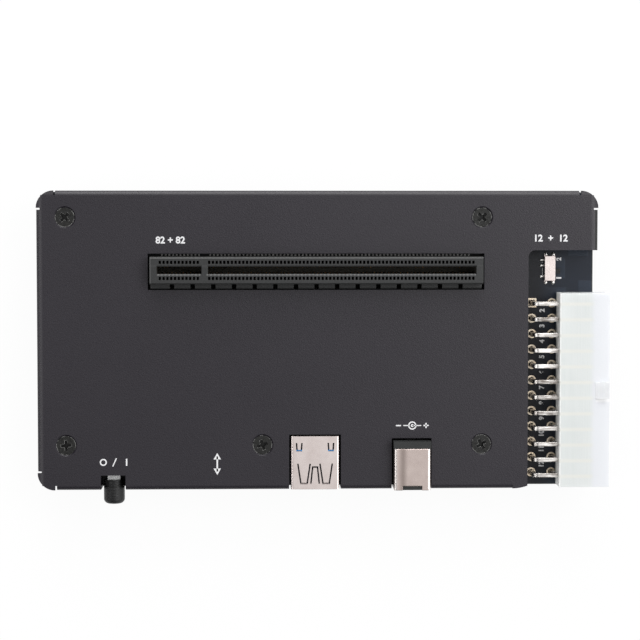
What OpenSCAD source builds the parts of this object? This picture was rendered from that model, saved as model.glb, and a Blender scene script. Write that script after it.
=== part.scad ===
// Expansion chassis with one full-length card slot, a 24-way power header,
// a round power inlet, two data ports and two switches.
// A folded cover and a folded tray close on the two faces of one circuit board.
// Places are given on the board: X along the slot, Y towards the back, Z up,
// zero at the middle of the case and on the board's upper face.

/* [Case] */
// Radius of the flat corners of cover and tray
corner_r = 4.6; // [3:0.1:6]
// Width of the relief cut between a flange and a corner
relief_w = 0.5; // [0.4:0.1:1.2]
// Gap between a flange's edge and the board
flange_gap = 0.2; // [0.1:0.1:0.5]

/* [Cover] */
// Sheet thickness of the cover
cover_t = 1; // [0.8:0.1:1.2]
// Inside radius of the cover's folds
cover_fold_r = 0.2; // [0.2:0.1:1]
// Clear height between the board and the cover's sheet
head_room = 6; // [6:0.1:8]
// Length of the sheet behind the open corner over the power header
window_back = 15.9; // [14:0.1:20]
// Distance from the header's back end to the edge of the open corner
window_behind = 11.45; // [10.5:0.05:14]
// Distance from the header's pins to the edge of the open corner
window_side = 1.4; // [1:0.1:3]
// Radius of the inner corner of that opening
window_r = 1.8; // [0.5:0.1:3]
// Length of the flat nose that the front fold ends in
nose_l = 4; // [2:0.1:6]
// Radius of the nose's edge
nose_r = 11.8; // [9:0.1:20]

/* [Tray] */
// Sheet thickness of the tray
tray_t = 1; // [0.8:0.1:1.5]
// Inside radius of the tray's folds
tray_fold_r = 0.2; // [0.2:0.1:1]
// Clear height between the tray's sheet and the board
under_room = 5; // [5:0.1:8]
// Diameter of a rubber foot
foot_d = 10; // [6:0.5:12]
// Height of a rubber foot
foot_h = 2; // [1:0.1:4]
// Distance from the case's ends to the middle of a foot
foot_in_x = 17; // [16:0.5:22]
// Distance from the case's long edges to the middle of a foot
foot_in_y = 8; // [7.5:0.1:9]

/* [Board] */
// Thickness of the circuit board
board_t = 1.6; // [1.2:0.1:2]
// Distance from the case's outline to the board's edge
board_in = 0.2; // [0.1:0.1:0.5]

/* [Fasteners] */
// Diameter of the screws and of the standoffs' studs
screw_d = 3; // [2.5:0.1:3.2]
// Diameter of a screw's countersunk head
screw_head_d = 5.2; // [5:0.1:6]
// Depth of a screw's head below the sheet's face
screw_drop = 0.3; // [0.1:0.05:0.4]
// Length of a screw's shank below the sheet that it holds
screw_grip = 2.2; // [1.5:0.1:2.4]
// Width of a standoff across its flats
standoff_w = 5.5; // [5:0.1:6]
// Distance from the case's left end to the left screws
screw_left = 7.6; // [7:0.1:9]
// Place of the screw between the ports, as a share of the case's length
screw_mid_share = 0.4; // [0.395:0.001:0.405]
// Place of the right screws, as a share of the case's length
screw_right_share = 0.792; // [0.785:0.001:0.8]
// Distance from the case's back edge to the back screws
screw_back = 7.1; // [6.5:0.1:8]
// Distance from the case's front edge to the front screws
screw_front = 12; // [11:0.1:13]

/* [Card slot] */
// Contacts in each row
slot_contacts_n = 82; // [49, 82]
// Contacts in each row before the key
slot_key_n = 11; // [9:1:13]
// Distance between neighbouring contacts
slot_pitch = 1; // [0.95:0.01:1]
// Height of the slot above the board
slot_h = 11.25; // [10.5:0.05:12]
// Width of the slot's body
slot_w = 7.3; // [7:0.05:7.8]
// Width of the groove that takes the card
slot_groove_w = 1.9; // [1.7:0.05:2]
// Depth of that groove
slot_groove_d = 8.6; // [7.5:0.1:9]
// Distance from the case's left end to the first contact
slot_left = 33; // [32.5:0.1:34]
// Distance from the last contact to the case's right end
slot_right = 34; // [33:0.1:50]
// Distance from the case's back edge to the middle of the slot
slot_back = 21.15; // [20.5:0.05:22]
// Width of the ledge along the slot's front side
slot_ledge_w = 1.35; // [0.8:0.05:1.5]
// Height of that ledge above the board
slot_ledge_h = 7.4; // [6:0.1:8]

/* [Power header] */
// Positions in each row of the header
header_n = 12; // [10:1:12]
// Distance between neighbouring positions and between the two rows
header_pitch = 4.2; // [4.1:0.05:4.2]
// Height of the header's housing
header_h = 9.6; // [9.4:0.1:10.5]
// Depth of the housing from its back to its mouth
header_d = 13; // [12:0.1:14]
// Distance by which the mouth stands out past the case's right end
header_out = 2.9; // [2:0.1:4]
// Distance from the case's front edge to the housing's front end
header_front = 0.65; // [0.5:0.05:1]
// Width of the square pins
header_pin_w = 1.07; // [0.9:0.01:1.15]

/* [Data ports] */
// Width of the large port's shell
port_a_w = 13; // [12.8:0.1:13.2]
// Length of the large port's shell
port_a_l = 14.3; // [13:0.1:15]
// Height of the large port's shell
port_a_h = 5.75; // [5.6:0.05:5.8]
// Place of the large port's middle, as a share of the case's length
port_a_share = 0.494; // [0.49:0.001:0.498]
// Width of the small port's shell
port_c_w = 9; // [8.8:0.05:9.2]
// Height of the small port's shell
port_c_h = 3.25; // [3.1:0.05:3.4]
// Length of the small port's shell
port_c_l = 7.4; // [7:0.1:9]
// Place of the small port's middle, as a share of the case's length
port_c_share = 0.3175; // [0.305:0.0005:0.33]

/* [Power inlet] */
// Width of the inlet's shield
inlet_w = 9.7; // [9.5:0.1:10]
// Height of the inlet above the board
inlet_h = 10; // [9.6:0.1:10.5]
// Length of the inlet's shield
inlet_shield_l = 11.1; // [10:0.1:12]
// Length of the plastic body behind the shield
inlet_tail_l = 2; // [1.5:0.1:2.3]
// Diameter of the bore for the plug
inlet_bore_d = 6.3; // [6:0.1:6.5]
// Diameter of the centre pin
inlet_pin_d = 2.5; // [2:0.1:2.6]
// Place of the inlet's middle, as a share of the case's length
inlet_share = 0.667; // [0.663:0.001:0.67]

/* [Power switch] */
// Diameter of the button's cap
button_d = 5.6; // [5:0.1:5.6]
// Length of the button's cap
button_l = 6.5; // [6:0.1:7.5]
// Distance by which the cap stands out past the case's front
button_out = 4; // [3.5:0.1:4.5]
// Travel of the button
button_travel = 2; // [1:0.1:2]
// Width of the plunger's stem
stem_w = 3.4; // [3:0.1:3.6]
// Height of the plunger's stem
stem_h = 2.2; // [1.8:0.1:2.6]
// Width of the switch's body
switch_w = 6.2; // [5.8:0.1:7]
// Length of the switch's body
switch_l = 8.4; // [8:0.1:10]
// Height of the switch's body
switch_h = 5.7; // [5.4:0.1:5.8]
// Place of the button's middle, as a share of the case's length
button_share = 0.134; // [0.133:0.001:0.147]

/* [Selector switch] */
// Length of the selector's body
selector_l = 6.6; // [6.4:0.1:7]
// Width of the selector's body
selector_w = 2.8; // [2.6:0.1:3]
// Height of the selector's body
selector_h = 1.4; // [1.3:0.05:1.6]
// Length of the knob outside the body
knob_out = 1.4; // [1:0.1:1.8]
// Width of the knob
knob_w = 1.3; // [1.1:0.1:1.4]
// Travel of the knob
knob_travel = 1.5; // [1.2:0.1:1.6]

/* [Hidden] */

$fn = 48;
// Overrun of every cut past the face that it opens
cut = 0.5;
// Clearance of a part that sits in another
fit_gap = 0.05;
// Clearance of a part that slides in another
slide_gap = 0.1;
// Clearance of a hole that a stud or a leg passes through
pass_gap = 0.2;

// The case is as long as the slot and the room at its ends, and as wide as
// the header and what lies in front of it and behind it
slot_key_steps = 2;
slot_span = (slot_contacts_n - 1 + slot_key_steps) * slot_pitch;
header_end = 2.9;
header_l = (header_n - 1) * header_pitch + 2 * header_end;
case_l = slot_left + slot_span + slot_right;
case_w = header_front + header_l + window_behind + window_back;

// Edges of the case
left_x = -case_l / 2;
right_x = case_l / 2;
back_y = case_w / 2;
front_y = -case_w / 2;
cover_z = head_room + cover_t;
tray_z = -board_t - under_room - tray_t;

// Fasteners
SCREW_PLACES = [
    [left_x + screw_left, back_y - screw_back],
    [left_x + screw_right_share * case_l, back_y - screw_back],
    [left_x + screw_left, front_y + screw_front],
    [left_x + screw_mid_share * case_l, front_y + screw_front],
    [left_x + screw_right_share * case_l, front_y + screw_front]
];
screw_head_h = (screw_head_d - screw_d) / 2;
screw_recess_w = 0.75;
screw_recess_l = 2.8;
screw_recess_d = 0.8;
screw_recess_mid = 1.3;
SCREW_TURNS = [45, 45, 3, 20, 32];
stud_l = board_t + screw_grip;
thread_r = screw_d / 2 + fit_gap;

// Header, measured from its own front end
header_y = front_y + header_front + header_l / 2;
header_back_x = right_x + header_out - header_d;
header_floor = 2.6;
header_wall = 0.5;
header_cell_w = header_pitch - header_wall;
header_cell_key = 0.9;
header_cell_edge = 0.1;
header_row_z = [header_h / 2 - header_pitch / 2, header_h / 2 + header_pitch / 2];
header_col_in = 1.15;
header_col_pitch = 5.5;
header_tip_in = 2;
header_bend_r = 0.5;
header_leg = 1.5;
header_hole_r = 0.85;
header_latch_w = 4.4;
header_latch_l = 3;
header_latch_h = 0.9;
header_lip_d = 0.4;
header_lip_share = 0.375;

// Open corner of the cover
window_x = header_back_x - header_col_in - header_col_pitch - header_pin_w / 2 - window_side;
window_y = back_y - window_back;
window_l = right_x - window_x;

// Card slot
slot_pin_w = 0.45;
slot_pin_t = 0.2;
slot_hole_w = 0.62;
slot_hole_l = 0.85;
slot_hole_in = 0.75;
slot_bar_h = 2.2;
slot_end = 2.7;
slot_key_gap = 0.85;
slot_key_w = 1.65;
slot_foot = 0.3;
slot_foot_l = 1.6;
slot_tail = 0.55;
slot_edge = 0.3;
slot_lead = 0.35;
slot_notch_w = 1.2;
slot_notch_pitch = 5.5;
slot_notch_d = 2.4;
slot_x = left_x + slot_left;
slot_y = back_y - slot_back;
slot_l = slot_span + 2 * slot_end;
slot_clear = 0.75;
slot_clear_front = 0.3;

// Large port
port_sheet = 0.3;
port_a_x = left_x + port_a_share * case_l;
port_a_top = cover_z;
port_a_edge = 0.6;
port_a_notch_side = 0.45;
port_a_notch_back = 0.45;
port_a_block_l = 4.4;
port_a_tongue_side = 0.95;
port_a_tongue_w = port_a_w - 2 * port_a_tongue_side;
port_a_tongue_t = 1.85;
port_a_tongue_in = 1.4;
port_a_tongue_drop = 1;
port_a_pocket_d = 1.2;
port_a_strips = 4;
port_a_strip_pitch = port_a_tongue_w / (port_a_strips + 1);
port_a_strip_w = port_a_strip_pitch / 2;
port_a_leg_w = 1.6;
port_slit = 0.36;

// Small port
port_c_x = left_x + port_c_share * case_l;
port_c_tongue_side = 1.15;
port_c_tongue_w = port_c_w - 2 * port_c_tongue_side;
port_c_tongue_t = 0.7;
port_c_tongue_in = 0.8;
port_c_block_l = 1.6;
port_c_strips = 12;
port_c_strip_pitch = port_c_tongue_w / (port_c_strips + 1);
port_c_strip_w = port_c_strip_pitch / 2;
port_c_strip_t = 0.06;
port_c_hole_gap = 0.3;

// Power inlet
inlet_x = left_x + inlet_share * case_l;
inlet_sheet = 0.3;
inlet_tail_w = 10;
inlet_notch_w = 5.2;
inlet_notch_d = 1.15;
inlet_notch_side = 0.35;
inlet_notch_back = 0.6;
inlet_l = inlet_shield_l + inlet_tail_l;
inlet_bore_l = 9.6;
inlet_z = inlet_h / 2;
inlet_spring_w = 2;
inlet_spring_t = 0.3;
inlet_leg_t = 0.8;
inlet_leg_w = 2;

// Power switch
button_x = left_x + button_share * case_l;
button_under = 0.3;
button_z = button_d / 2 + button_under;
button_front_y = front_y - button_out;
button_edge_r = 1.3;
button_skirt_l = 1.4;
button_skirt_step = 0.15;
button_notch_w = 6.6;
button_notch_d = 3.95;
button_wall = 1;
stem_show = 4.1;
stem_in = 3;
switch_front_y = button_front_y + button_l + stem_show;
switch_leg_w = 0.5;
switch_leg_t = 0.3;
switch_leg_pitch = 2;
switch_leg_row = 4.4;

// Selector switch
selector_in_x = 6.7;
selector_in_y = 5;
selector_x = window_x + selector_in_x;
selector_y = window_y - selector_in_y;
selector_sheet = 0.2;
selector_slide_l = 2.4;
selector_slide_w = 1.5;
selector_slide_t = 0.7;
selector_floor = 0.35;
selector_pin_w = 0.45;
selector_pin_l = 1.2;
selector_pin_t = 0.15;
selector_pin_shares = [0.35, 0.125, -0.33];
selector_tab_w = 0.75;
selector_tab_l = 0.9;
selector_corner = 0.4;

// Frame: the middle of the whole part's footprint, on the face that it stands on
frame_x = (left_x + right_x + header_out) / 2;
frame_y = (back_y + button_front_y) / 2;
frame_z = tray_z - foot_h;

module on_board() translate([-frame_x, -frame_y, -frame_z]) children();

// A box from one corner to the other
module box_between(low, high) translate(low) cube(high - low);

// A box that stands on a point, centred on it in X and Y
module block(at, size) translate([at[0] - size[0] / 2, at[1] - size[1] / 2, at[2]]) cube(size);

// Section of a fold: outer face at x = 0, upper face at y = 0
module fold_section(depth, sheet, inside_r) {
    outer_r = inside_r + sheet;
    translate([-outer_r, -outer_r]) difference() {
        intersection() {
            circle(outer_r);
            square(outer_r);
        }
        circle(inside_r);
    }
    translate([-sheet, -depth]) square([sheet, depth - outer_r]);
}

// One flange with its fold, from one point of an edge to another,
// with the inside of the case on the left of the way from the one to the other
module flange(from, to, depth, sheet, inside_r) {
    run = to - from;
    translate([from[0], from[1], 0]) rotate(atan2(run[1], run[0])) rotate([90, 0, 90])
        linear_extrude(norm(run)) mirror([1, 0]) fold_section(depth, sheet, inside_r);
}

// Flat sheet inside the folds, with four round corners that reach the outline.
// A relief cut stays open between each corner and the flanges beside it.
module sheet_outline(outer_r) {
    square([case_l - 2 * outer_r, case_w - 2 * outer_r], center = true);
    for (sx = [0, 1], sy = [0, 1]) mirror([sx, 0, 0]) mirror([0, sy, 0])
        translate([right_x - corner_r, back_y - corner_r]) intersection() {
            circle(corner_r);
            square(corner_r);
        }
}

module rounded_outline(inset) {
    r = corner_r - inset;
    square([case_l - 2 * corner_r, case_w - 2 * inset], center = true);
    square([case_l - 2 * inset, case_w - 2 * corner_r], center = true);
    for (sx = [-1, 1], sy = [-1, 1])
        translate([sx * (right_x - corner_r), sy * (back_y - corner_r)]) circle(r);
}

module window_outline() {
    translate([window_x + window_r, front_y - cut])
        square([window_l + cut, case_w - window_back + cut]);
    translate([window_x, front_y - cut])
        square([window_l + cut, case_w - window_back + cut - window_r]);
    translate([window_x + window_r, window_y - window_r]) circle(window_r);
}

// Countersunk screw for a sheet whose face lies at z = 0, its head a little below that face
module screw(grip, turn) rotate(turn) translate([0, 0, -screw_drop]) difference() {
    union() {
        translate([0, 0, -screw_head_h]) cylinder(h = screw_head_h, d1 = screw_d, d2 = screw_head_d);
        translate([0, 0, screw_drop - grip]) cylinder(h = grip - screw_drop, d = screw_d);
    }
    for (side = [0, 90]) rotate(side)
        translate([-screw_recess_l / 2, -screw_recess_w / 2, -screw_recess_d])
            cube([screw_recess_l, screw_recess_w, screw_recess_d + cut]);
    rotate(45) translate([-screw_recess_mid / 2, -screw_recess_mid / 2, -screw_recess_l / 2])
        cube([screw_recess_mid, screw_recess_mid, screw_recess_l / 2 + cut]);
}

// Room for that screw, whose countersink widens up to the sheet's face
module screw_room(grip) {
    depth = screw_head_h + screw_drop;
    translate([0, 0, -depth]) cylinder(h = depth, r1 = thread_r, r2 = thread_r + depth);
    translate([0, 0, -grip]) cylinder(h = grip, r = thread_r);
}

// Cover

module cover_sheet() {
    outer_r = cover_fold_r + cover_t;
    depth = cover_z - flange_gap;
    flat = corner_r + relief_w;
    nose_x = window_x - nose_l;
    translate([0, 0, -cover_t]) linear_extrude(cover_t) difference() {
        union() {
            sheet_outline(outer_r);
            intersection() {
                translate([nose_x, front_y]) square([nose_l + cut, 2 * outer_r]);
                translate([nose_x, front_y + nose_r]) circle(nose_r, $fn = 96);
            }
        }
        window_outline();
    }
    flange([right_x - flat, back_y], [left_x + flat, back_y], depth, cover_t, cover_fold_r);
    flange([left_x, back_y - flat], [left_x, front_y + flat], depth, cover_t, cover_fold_r);
    flange([left_x + flat, front_y], [nose_x, front_y], depth, cover_t, cover_fold_r);
    flange([right_x, window_y], [right_x, back_y - flat], depth, cover_t, cover_fold_r);
}

// A notch that opens the front edge from top to bottom
module front_notch(x, w, d)
    box_between([x - w / 2, front_y - cut, 0], [x + w / 2, front_y + d, cover_z + cut]);

module port_c_outline(grow) {
    r = port_c_h / 2 + grow;
    run = port_c_w - port_c_h;
    translate([-run / 2, -r]) square([run, 2 * r]);
    for (s = [-1, 1]) translate([s * run / 2, 0]) circle(r);
}

module cover() color([0.24, 0.23, 0.25]) on_board() difference() {
    translate([0, 0, cover_z]) cover_sheet();
    for (p = SCREW_PLACES) translate([p[0], p[1], cover_z]) screw_room(2 * cover_t);
    box_between(
        [slot_x - slot_end - slot_clear, slot_y - slot_w / 2 - slot_ledge_w - slot_clear_front, 0],
        [slot_x + slot_span + slot_end + slot_clear, slot_y + slot_w / 2 + slot_clear, cover_z + cut]);
    front_notch(button_x, button_notch_w, button_notch_d);
    front_notch(port_a_x, port_a_w + 2 * port_a_notch_side, port_a_l + port_a_notch_back);
    front_notch(inlet_x, inlet_tail_w + 2 * inlet_notch_side, inlet_l + inlet_notch_back);
    translate([port_c_x, front_y + 2 * cover_t, port_c_h / 2]) rotate([90, 0, 0])
        linear_extrude(3 * cover_t) {
            port_c_outline(port_c_hole_gap);
            translate([-port_c_w / 2 - port_c_hole_gap, -port_c_h])
                square([port_c_w + 2 * port_c_hole_gap, port_c_h]);
        }
}

// Tray, feet and fasteners

module tray_sheet() {
    outer_r = tray_fold_r + tray_t;
    depth = tray_t + under_room - flange_gap;
    flat = corner_r + relief_w;
    translate([0, 0, -tray_t]) linear_extrude(tray_t) sheet_outline(outer_r);
    flange([right_x - flat, back_y], [left_x + flat, back_y], depth, tray_t, tray_fold_r);
    flange([left_x, back_y - flat], [left_x, front_y + flat], depth, tray_t, tray_fold_r);
    flange([left_x + flat, front_y], [right_x - flat, front_y], depth, tray_t, tray_fold_r);
    flange([right_x, front_y + flat], [right_x, back_y - flat], depth, tray_t, tray_fold_r);
}

module bottom_tray() color([0.22, 0.21, 0.23]) on_board() difference() {
    translate([0, 0, tray_z]) mirror([0, 0, 1]) tray_sheet();
    for (p = SCREW_PLACES)
        translate([p[0], p[1], tray_z]) mirror([0, 0, 1]) screw_room(2 * tray_t);
}

module rubber_feet() color([0.1, 0.1, 0.1]) on_board()
    for (sx = [-1, 1], sy = [-1, 1])
        translate([sx * (right_x - foot_in_x), sy * (back_y - foot_in_y), tray_z - foot_h])
            cylinder(h = foot_h, d1 = foot_d - foot_h / 2, d2 = foot_d);

module cover_screws() color([0.1, 0.1, 0.1]) on_board()
    for (k = [0 : len(SCREW_PLACES) - 1])
        translate([SCREW_PLACES[k][0], SCREW_PLACES[k][1], cover_z])
            screw(cover_t + screw_grip, SCREW_TURNS[k]);

module tray_screws() color([0.1, 0.1, 0.1]) on_board()
    for (k = [0 : len(SCREW_PLACES) - 1])
        translate([SCREW_PLACES[k][0], SCREW_PLACES[k][1], tray_z])
            mirror([0, 0, 1]) screw(tray_t + screw_grip, SCREW_TURNS[k]);

// Six-sided pillar that stands on z = 0
module pillar(height) cylinder(h = height, d = standoff_w / cos(30), $fn = 6);

module upper_standoffs() color([0.75, 0.72, 0.62]) on_board() for (p = SCREW_PLACES)
    translate([p[0], p[1], 0]) difference() {
        union() {
            pillar(head_room);
            translate([0, 0, -stud_l]) cylinder(h = stud_l, d = screw_d);
        }
        translate([0, 0, cover_z]) screw_room(cover_z - head_room / 3);
    }

module lower_standoffs() color([0.75, 0.72, 0.62]) on_board() for (p = SCREW_PLACES)
    translate([p[0], p[1], -board_t - under_room]) difference() {
        pillar(under_room);
        translate([0, 0, -cut]) cylinder(h = under_room + 2 * cut, r = thread_r);
        translate([0, 0, -tray_t]) mirror([0, 0, 1]) screw_room(2 * tray_t);
    }

// Circuit board

module board_holes() {
    for (p = SCREW_PLACES) translate(p) circle(d = screw_d + 2 * pass_gap);
    for (k = [0 : header_n - 1], c = [0, 1])
        translate([header_back_x - header_col_in - c * header_col_pitch, header_pin_y(k)])
            circle(header_hole_r);
    for (x = [-1, 1] * (port_a_w - port_sheet) / 2, y = port_a_leg_places())
        translate([port_a_x + x, y]) square(
            [port_sheet + 2 * pass_gap, port_a_leg_w + 2 * pass_gap], center = true);
    for (p = inlet_leg_places()) translate(p)
        square([inlet_leg_w, inlet_leg_w] + [1, 1] * 2 * pass_gap, center = true);
    for (p = switch_leg_places()) translate(p) circle(d = switch_leg_w + 2 * pass_gap, $fn = 24);
}

module circuit_board() color([0.1, 0.11, 0.13]) on_board()
    translate([0, 0, -board_t]) linear_extrude(board_t) difference() {
        rounded_outline(board_in);
        board_holes();
    }

// Card slot

function slot_contact_x(k) = slot_x + slot_pitch * (k < slot_key_n ? k : k + slot_key_steps);

// Section of the housing, from front to back
module slot_section() polygon([
    [-slot_w / 2 - slot_ledge_w, slot_foot],
    [slot_w / 2, slot_foot],
    [slot_w / 2, slot_h - slot_edge],
    [slot_w / 2 - slot_edge, slot_h],
    [-slot_w / 2 + slot_edge, slot_h],
    [-slot_w / 2, slot_h - slot_edge],
    [-slot_w / 2, slot_ledge_h],
    [-slot_w / 2 - slot_ledge_w + slot_edge, slot_ledge_h],
    [-slot_w / 2 - slot_ledge_w, slot_ledge_h - slot_edge]
]);

module slot_groove_section() {
    translate([-slot_groove_w / 2, slot_h - slot_groove_d])
        square([slot_groove_w, slot_groove_d + cut]);
    polygon([
        [-slot_groove_w / 2, slot_h - slot_lead],
        [slot_groove_w / 2, slot_h - slot_lead],
        [slot_groove_w / 2 + slot_lead, slot_h],
        [-slot_groove_w / 2 - slot_lead, slot_h]
    ]);
}

// Extrudes a section of Y and Z along X from one place to another
module along_x(from, to) translate([from, 0, 0]) rotate([90, 0, 90]) linear_extrude(to - from)
    children();

// Room of one contact: open to the groove below, a small hole above
module slot_cavity() {
    hole_in = slot_groove_w / 2 + slot_hole_in;
    translate([-slot_hole_w / 2, 0, 0]) {
        translate([0, slot_groove_w / 2 - cut / 2, 0])
            cube([slot_hole_w, slot_hole_in + slot_hole_l + cut / 2, slot_h - slot_bar_h]);
        translate([0, hole_in, 0]) cube([slot_hole_w, slot_hole_l, slot_h + cut]);
    }
}

module slot_housing() color([0.13, 0.13, 0.14]) on_board() translate([0, slot_y, 0]) {
    x0 = slot_x - slot_end;
    x1 = slot_x + slot_span + slot_end;
    key0 = slot_contact_x(slot_key_n - 1) + slot_pitch;
    key1 = key0 + slot_key_w;
    notches = floor((slot_l - slot_notch_w) / slot_notch_pitch / 2);
    middle = (x0 + x1) / 2;
    difference() {
        along_x(x0, x1) slot_section();
        along_x(slot_x - slot_key_gap, key0) slot_groove_section();
        along_x(key1, slot_x + slot_span + slot_key_gap) slot_groove_section();
        for (k = [0 : slot_contacts_n - 1], s = [0, 1])
            translate([slot_contact_x(k), 0, 0]) mirror([0, s, 0]) slot_cavity();
        for (k = [-notches : notches])
            box_between(
                [middle + k * slot_notch_pitch - slot_notch_w / 2,
                    -slot_w / 2 - slot_ledge_w - cut, slot_ledge_h - slot_notch_d],
                [middle + k * slot_notch_pitch + slot_notch_w / 2, -slot_w / 2, slot_ledge_h + cut]);
    }
    for (x = [x0, x1 - slot_foot_l])
        box_between([x, -slot_w / 2, 0], [x + slot_foot_l, slot_w / 2, slot_foot]);
}

// Contact spring as places across and up: foot, leg, belly at the card, tip under the bar
slot_leg_y = slot_groove_w / 2 + slot_hole_in + slot_hole_l - slot_pin_t;
slot_belly_y = slot_groove_w / 2 - slot_pin_t;
slot_tip_y = slot_groove_w / 2 + slot_hole_in / 2;
SLOT_SPRING = [
    [slot_leg_y, 0],
    [slot_leg_y, 0.24 * slot_h],
    [slot_belly_y, 0.53 * slot_h],
    [slot_belly_y + slot_pin_t / 2, 0.58 * slot_h],
    [slot_tip_y, 0.68 * slot_h],
    [slot_tip_y, 0.73 * slot_h]
];

module slot_contact() rotate([90, 0, 90]) linear_extrude(slot_pin_w, center = true) {
    last = len(SLOT_SPRING) - 1;
    polygon([
        for (k = [0 : last]) SLOT_SPRING[k] + [slot_pin_t / 2, 0],
        for (k = [last : -1 : 0]) SLOT_SPRING[k] - [slot_pin_t / 2, 0]
    ]);
    translate([slot_leg_y - slot_pin_t / 2, 0])
        square([slot_w / 2 + slot_tail - slot_leg_y + slot_pin_t / 2, slot_pin_t]);
}

module slot_contacts() color([0.83, 0.7, 0.42]) on_board() translate([0, slot_y, 0])
    for (k = [0 : slot_contacts_n - 1], s = [0, 1])
        translate([slot_contact_x(k), 0, 0]) mirror([0, s, 0]) slot_contact();

// Power header

function header_pin_y(k) = header_y + header_pitch * ((header_n - 1) / 2 - k);
function header_keyed(k, row) = (k + 2 * row) % 4 < 2;

// Section of a cell, with two corners cut off where it is keyed
module header_cell(keyed) {
    h = header_cell_w / 2;
    c = keyed ? header_cell_key : header_cell_edge;
    polygon([
        [-h, -h], [h, -h], [h, h - c], [h - c, h], [-h + c, h], [-h, h - c]
    ]);
}

module header_housing() color([0.93, 0.94, 0.93]) on_board()
    translate([header_back_x, header_y, 0]) difference() {
        union() {
            box_between([0, -header_l / 2, 0], [header_d, header_l / 2, header_h]);
            box_between([-header_lip_d, -header_l / 2, header_lip_share * header_h],
                [header_floor, header_l / 2, header_h]);
            translate([0, header_latch_w / 2, 0]) rotate([90, 0, 0]) linear_extrude(header_latch_w)
                polygon([
                    [header_d - header_latch_l - header_latch_h, header_h],
                    [header_d - header_latch_l, header_h + header_latch_h],
                    [header_d - header_latch_l / 2, header_h + header_latch_h],
                    [header_d, header_h]
                ]);
        }
        for (k = [0 : header_n - 1], row = [0, 1])
            translate([0, header_pin_y(k) - header_y, header_row_z[row]]) {
                translate([header_floor, 0, 0]) rotate([90, 0, 90])
                    linear_extrude(header_d) header_cell(header_keyed(k, row));
                block([0, 0, 0] - [0, 0, header_pin_w / 2 + fit_gap],
                    [3 * header_floor, header_pin_w + 2 * fit_gap, header_pin_w + 2 * fit_gap]);
            }
    }

// One pin, seen from the front: from its tip in the cell to the end of its leg
module header_pin(row) {
    z = header_row_z[row];
    tip = header_d - header_tip_in;
    leg_x = -header_col_in - row * header_col_pitch;
    w = header_pin_w;
    r = header_bend_r;
    bend = [leg_x + w / 2 + r, z - w / 2 - r];
    polygon([
        [bend[0], z - w / 2], [tip - w, z - w / 2], [tip, z - w / 6],
        [tip, z + w / 6], [tip - w, z + w / 2], [bend[0], z + w / 2]
    ]);
    translate(bend) difference() {
        intersection() {
            circle(r + w);
            translate([-r - w, 0]) square(r + w);
        }
        circle(r);
    }
    translate([leg_x - w / 2, -board_t - header_leg]) square([w, bend[1] + board_t + header_leg]);
}

module header_pins() color([0.85, 0.84, 0.82]) on_board()
    for (k = [0 : header_n - 1], row = [0, 1])
        translate([header_back_x, header_pin_y(k) + header_pin_w / 2, 0]) rotate([90, 0, 0])
            linear_extrude(header_pin_w) header_pin(row);

// Large port

function port_a_leg_places() = [front_y + 0.42 * port_a_l, front_y + 0.8 * port_a_l];

module rounded_section(w, h, r) {
    square([w - 2 * r, h], center = true);
    square([w, h - 2 * r], center = true);
    for (sx = [-1, 1], sy = [-1, 1])
        translate([sx * (w / 2 - r), sy * (h / 2 - r)]) circle(r, $fn = 24);
}

// A slit along a line in the shell's roof
module slit(from, to) {
    run = to - from;
    translate(from) rotate(atan2(run[1], run[0])) translate([-port_slit / 2, -port_slit / 2])
        square([norm(run) + port_slit, port_slit]);
}

// A tongue cut free on three sides, its root at y = 0 and its tip at y = length
module tongue_slits(root_w, tip_w, length) {
    slit([-root_w / 2, 0], [-tip_w / 2, length]);
    slit([-tip_w / 2, length], [tip_w / 2, length]);
    slit([tip_w / 2, length], [root_w / 2, 0]);
}

// Two catches that are cut free near the back of the roof
catch_x = 0.327 * port_a_w;
catch_w = 0.11 * port_a_w;
catch_l = 0.13 * port_a_l;
catch_root = 0.86 * port_a_l;

module usb_a_shell() color([0.82, 0.79, 0.76]) on_board() {
    z = port_a_top - port_a_h;
    spring_x = 0.228 * port_a_w;
    difference() {
        translate([port_a_x, front_y + port_a_l, z + port_a_h / 2]) rotate([90, 0, 0])
            linear_extrude(port_a_l)
                rounded_section(port_a_w, port_a_h, port_a_edge);
        translate([port_a_x, front_y + port_a_l - port_sheet, z + port_a_h / 2]) rotate([90, 0, 0])
            linear_extrude(port_a_l)
                rounded_section(port_a_w - 2 * port_sheet, port_a_h - 2 * port_sheet,
                    port_a_edge - port_sheet);
        translate([port_a_x, front_y, port_a_top - 2 * port_sheet]) linear_extrude(cover_t) {
            for (s = [-1, 1]) {
                translate([s * spring_x, 0.47 * port_a_l]) mirror([0, 1])
                    tongue_slits(0.25 * port_a_w, 0.13 * port_a_w, 0.36 * port_a_l);
                translate([s * catch_x, catch_root]) mirror([0, 1])
                    tongue_slits(catch_w, 0.8 * catch_w, catch_l);
            }
            translate([0, 0.12 * port_a_l])
                tongue_slits(0.17 * port_a_w, 0.1 * port_a_w, 0.3 * port_a_l);
        }
    }
    for (x = [-1, 1] * (port_a_w - port_sheet) / 2, y = port_a_leg_places())
        block([port_a_x + x, y, -board_t - port_a_leg_w / 2],
            [port_sheet, port_a_leg_w, z + port_a_h / 2 + board_t + port_a_leg_w / 2]);
}

port_a_inner_w = port_a_w - 2 * port_sheet - 2 * fit_gap;
port_a_inner_low = port_a_top - port_a_h + port_sheet + fit_gap;
port_a_inner_high = port_a_top - port_sheet - fit_gap;
port_a_tongue_high = port_a_inner_high - port_a_tongue_drop;
port_a_block_y = front_y + port_a_l - port_sheet - fit_gap - port_a_block_l;

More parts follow.
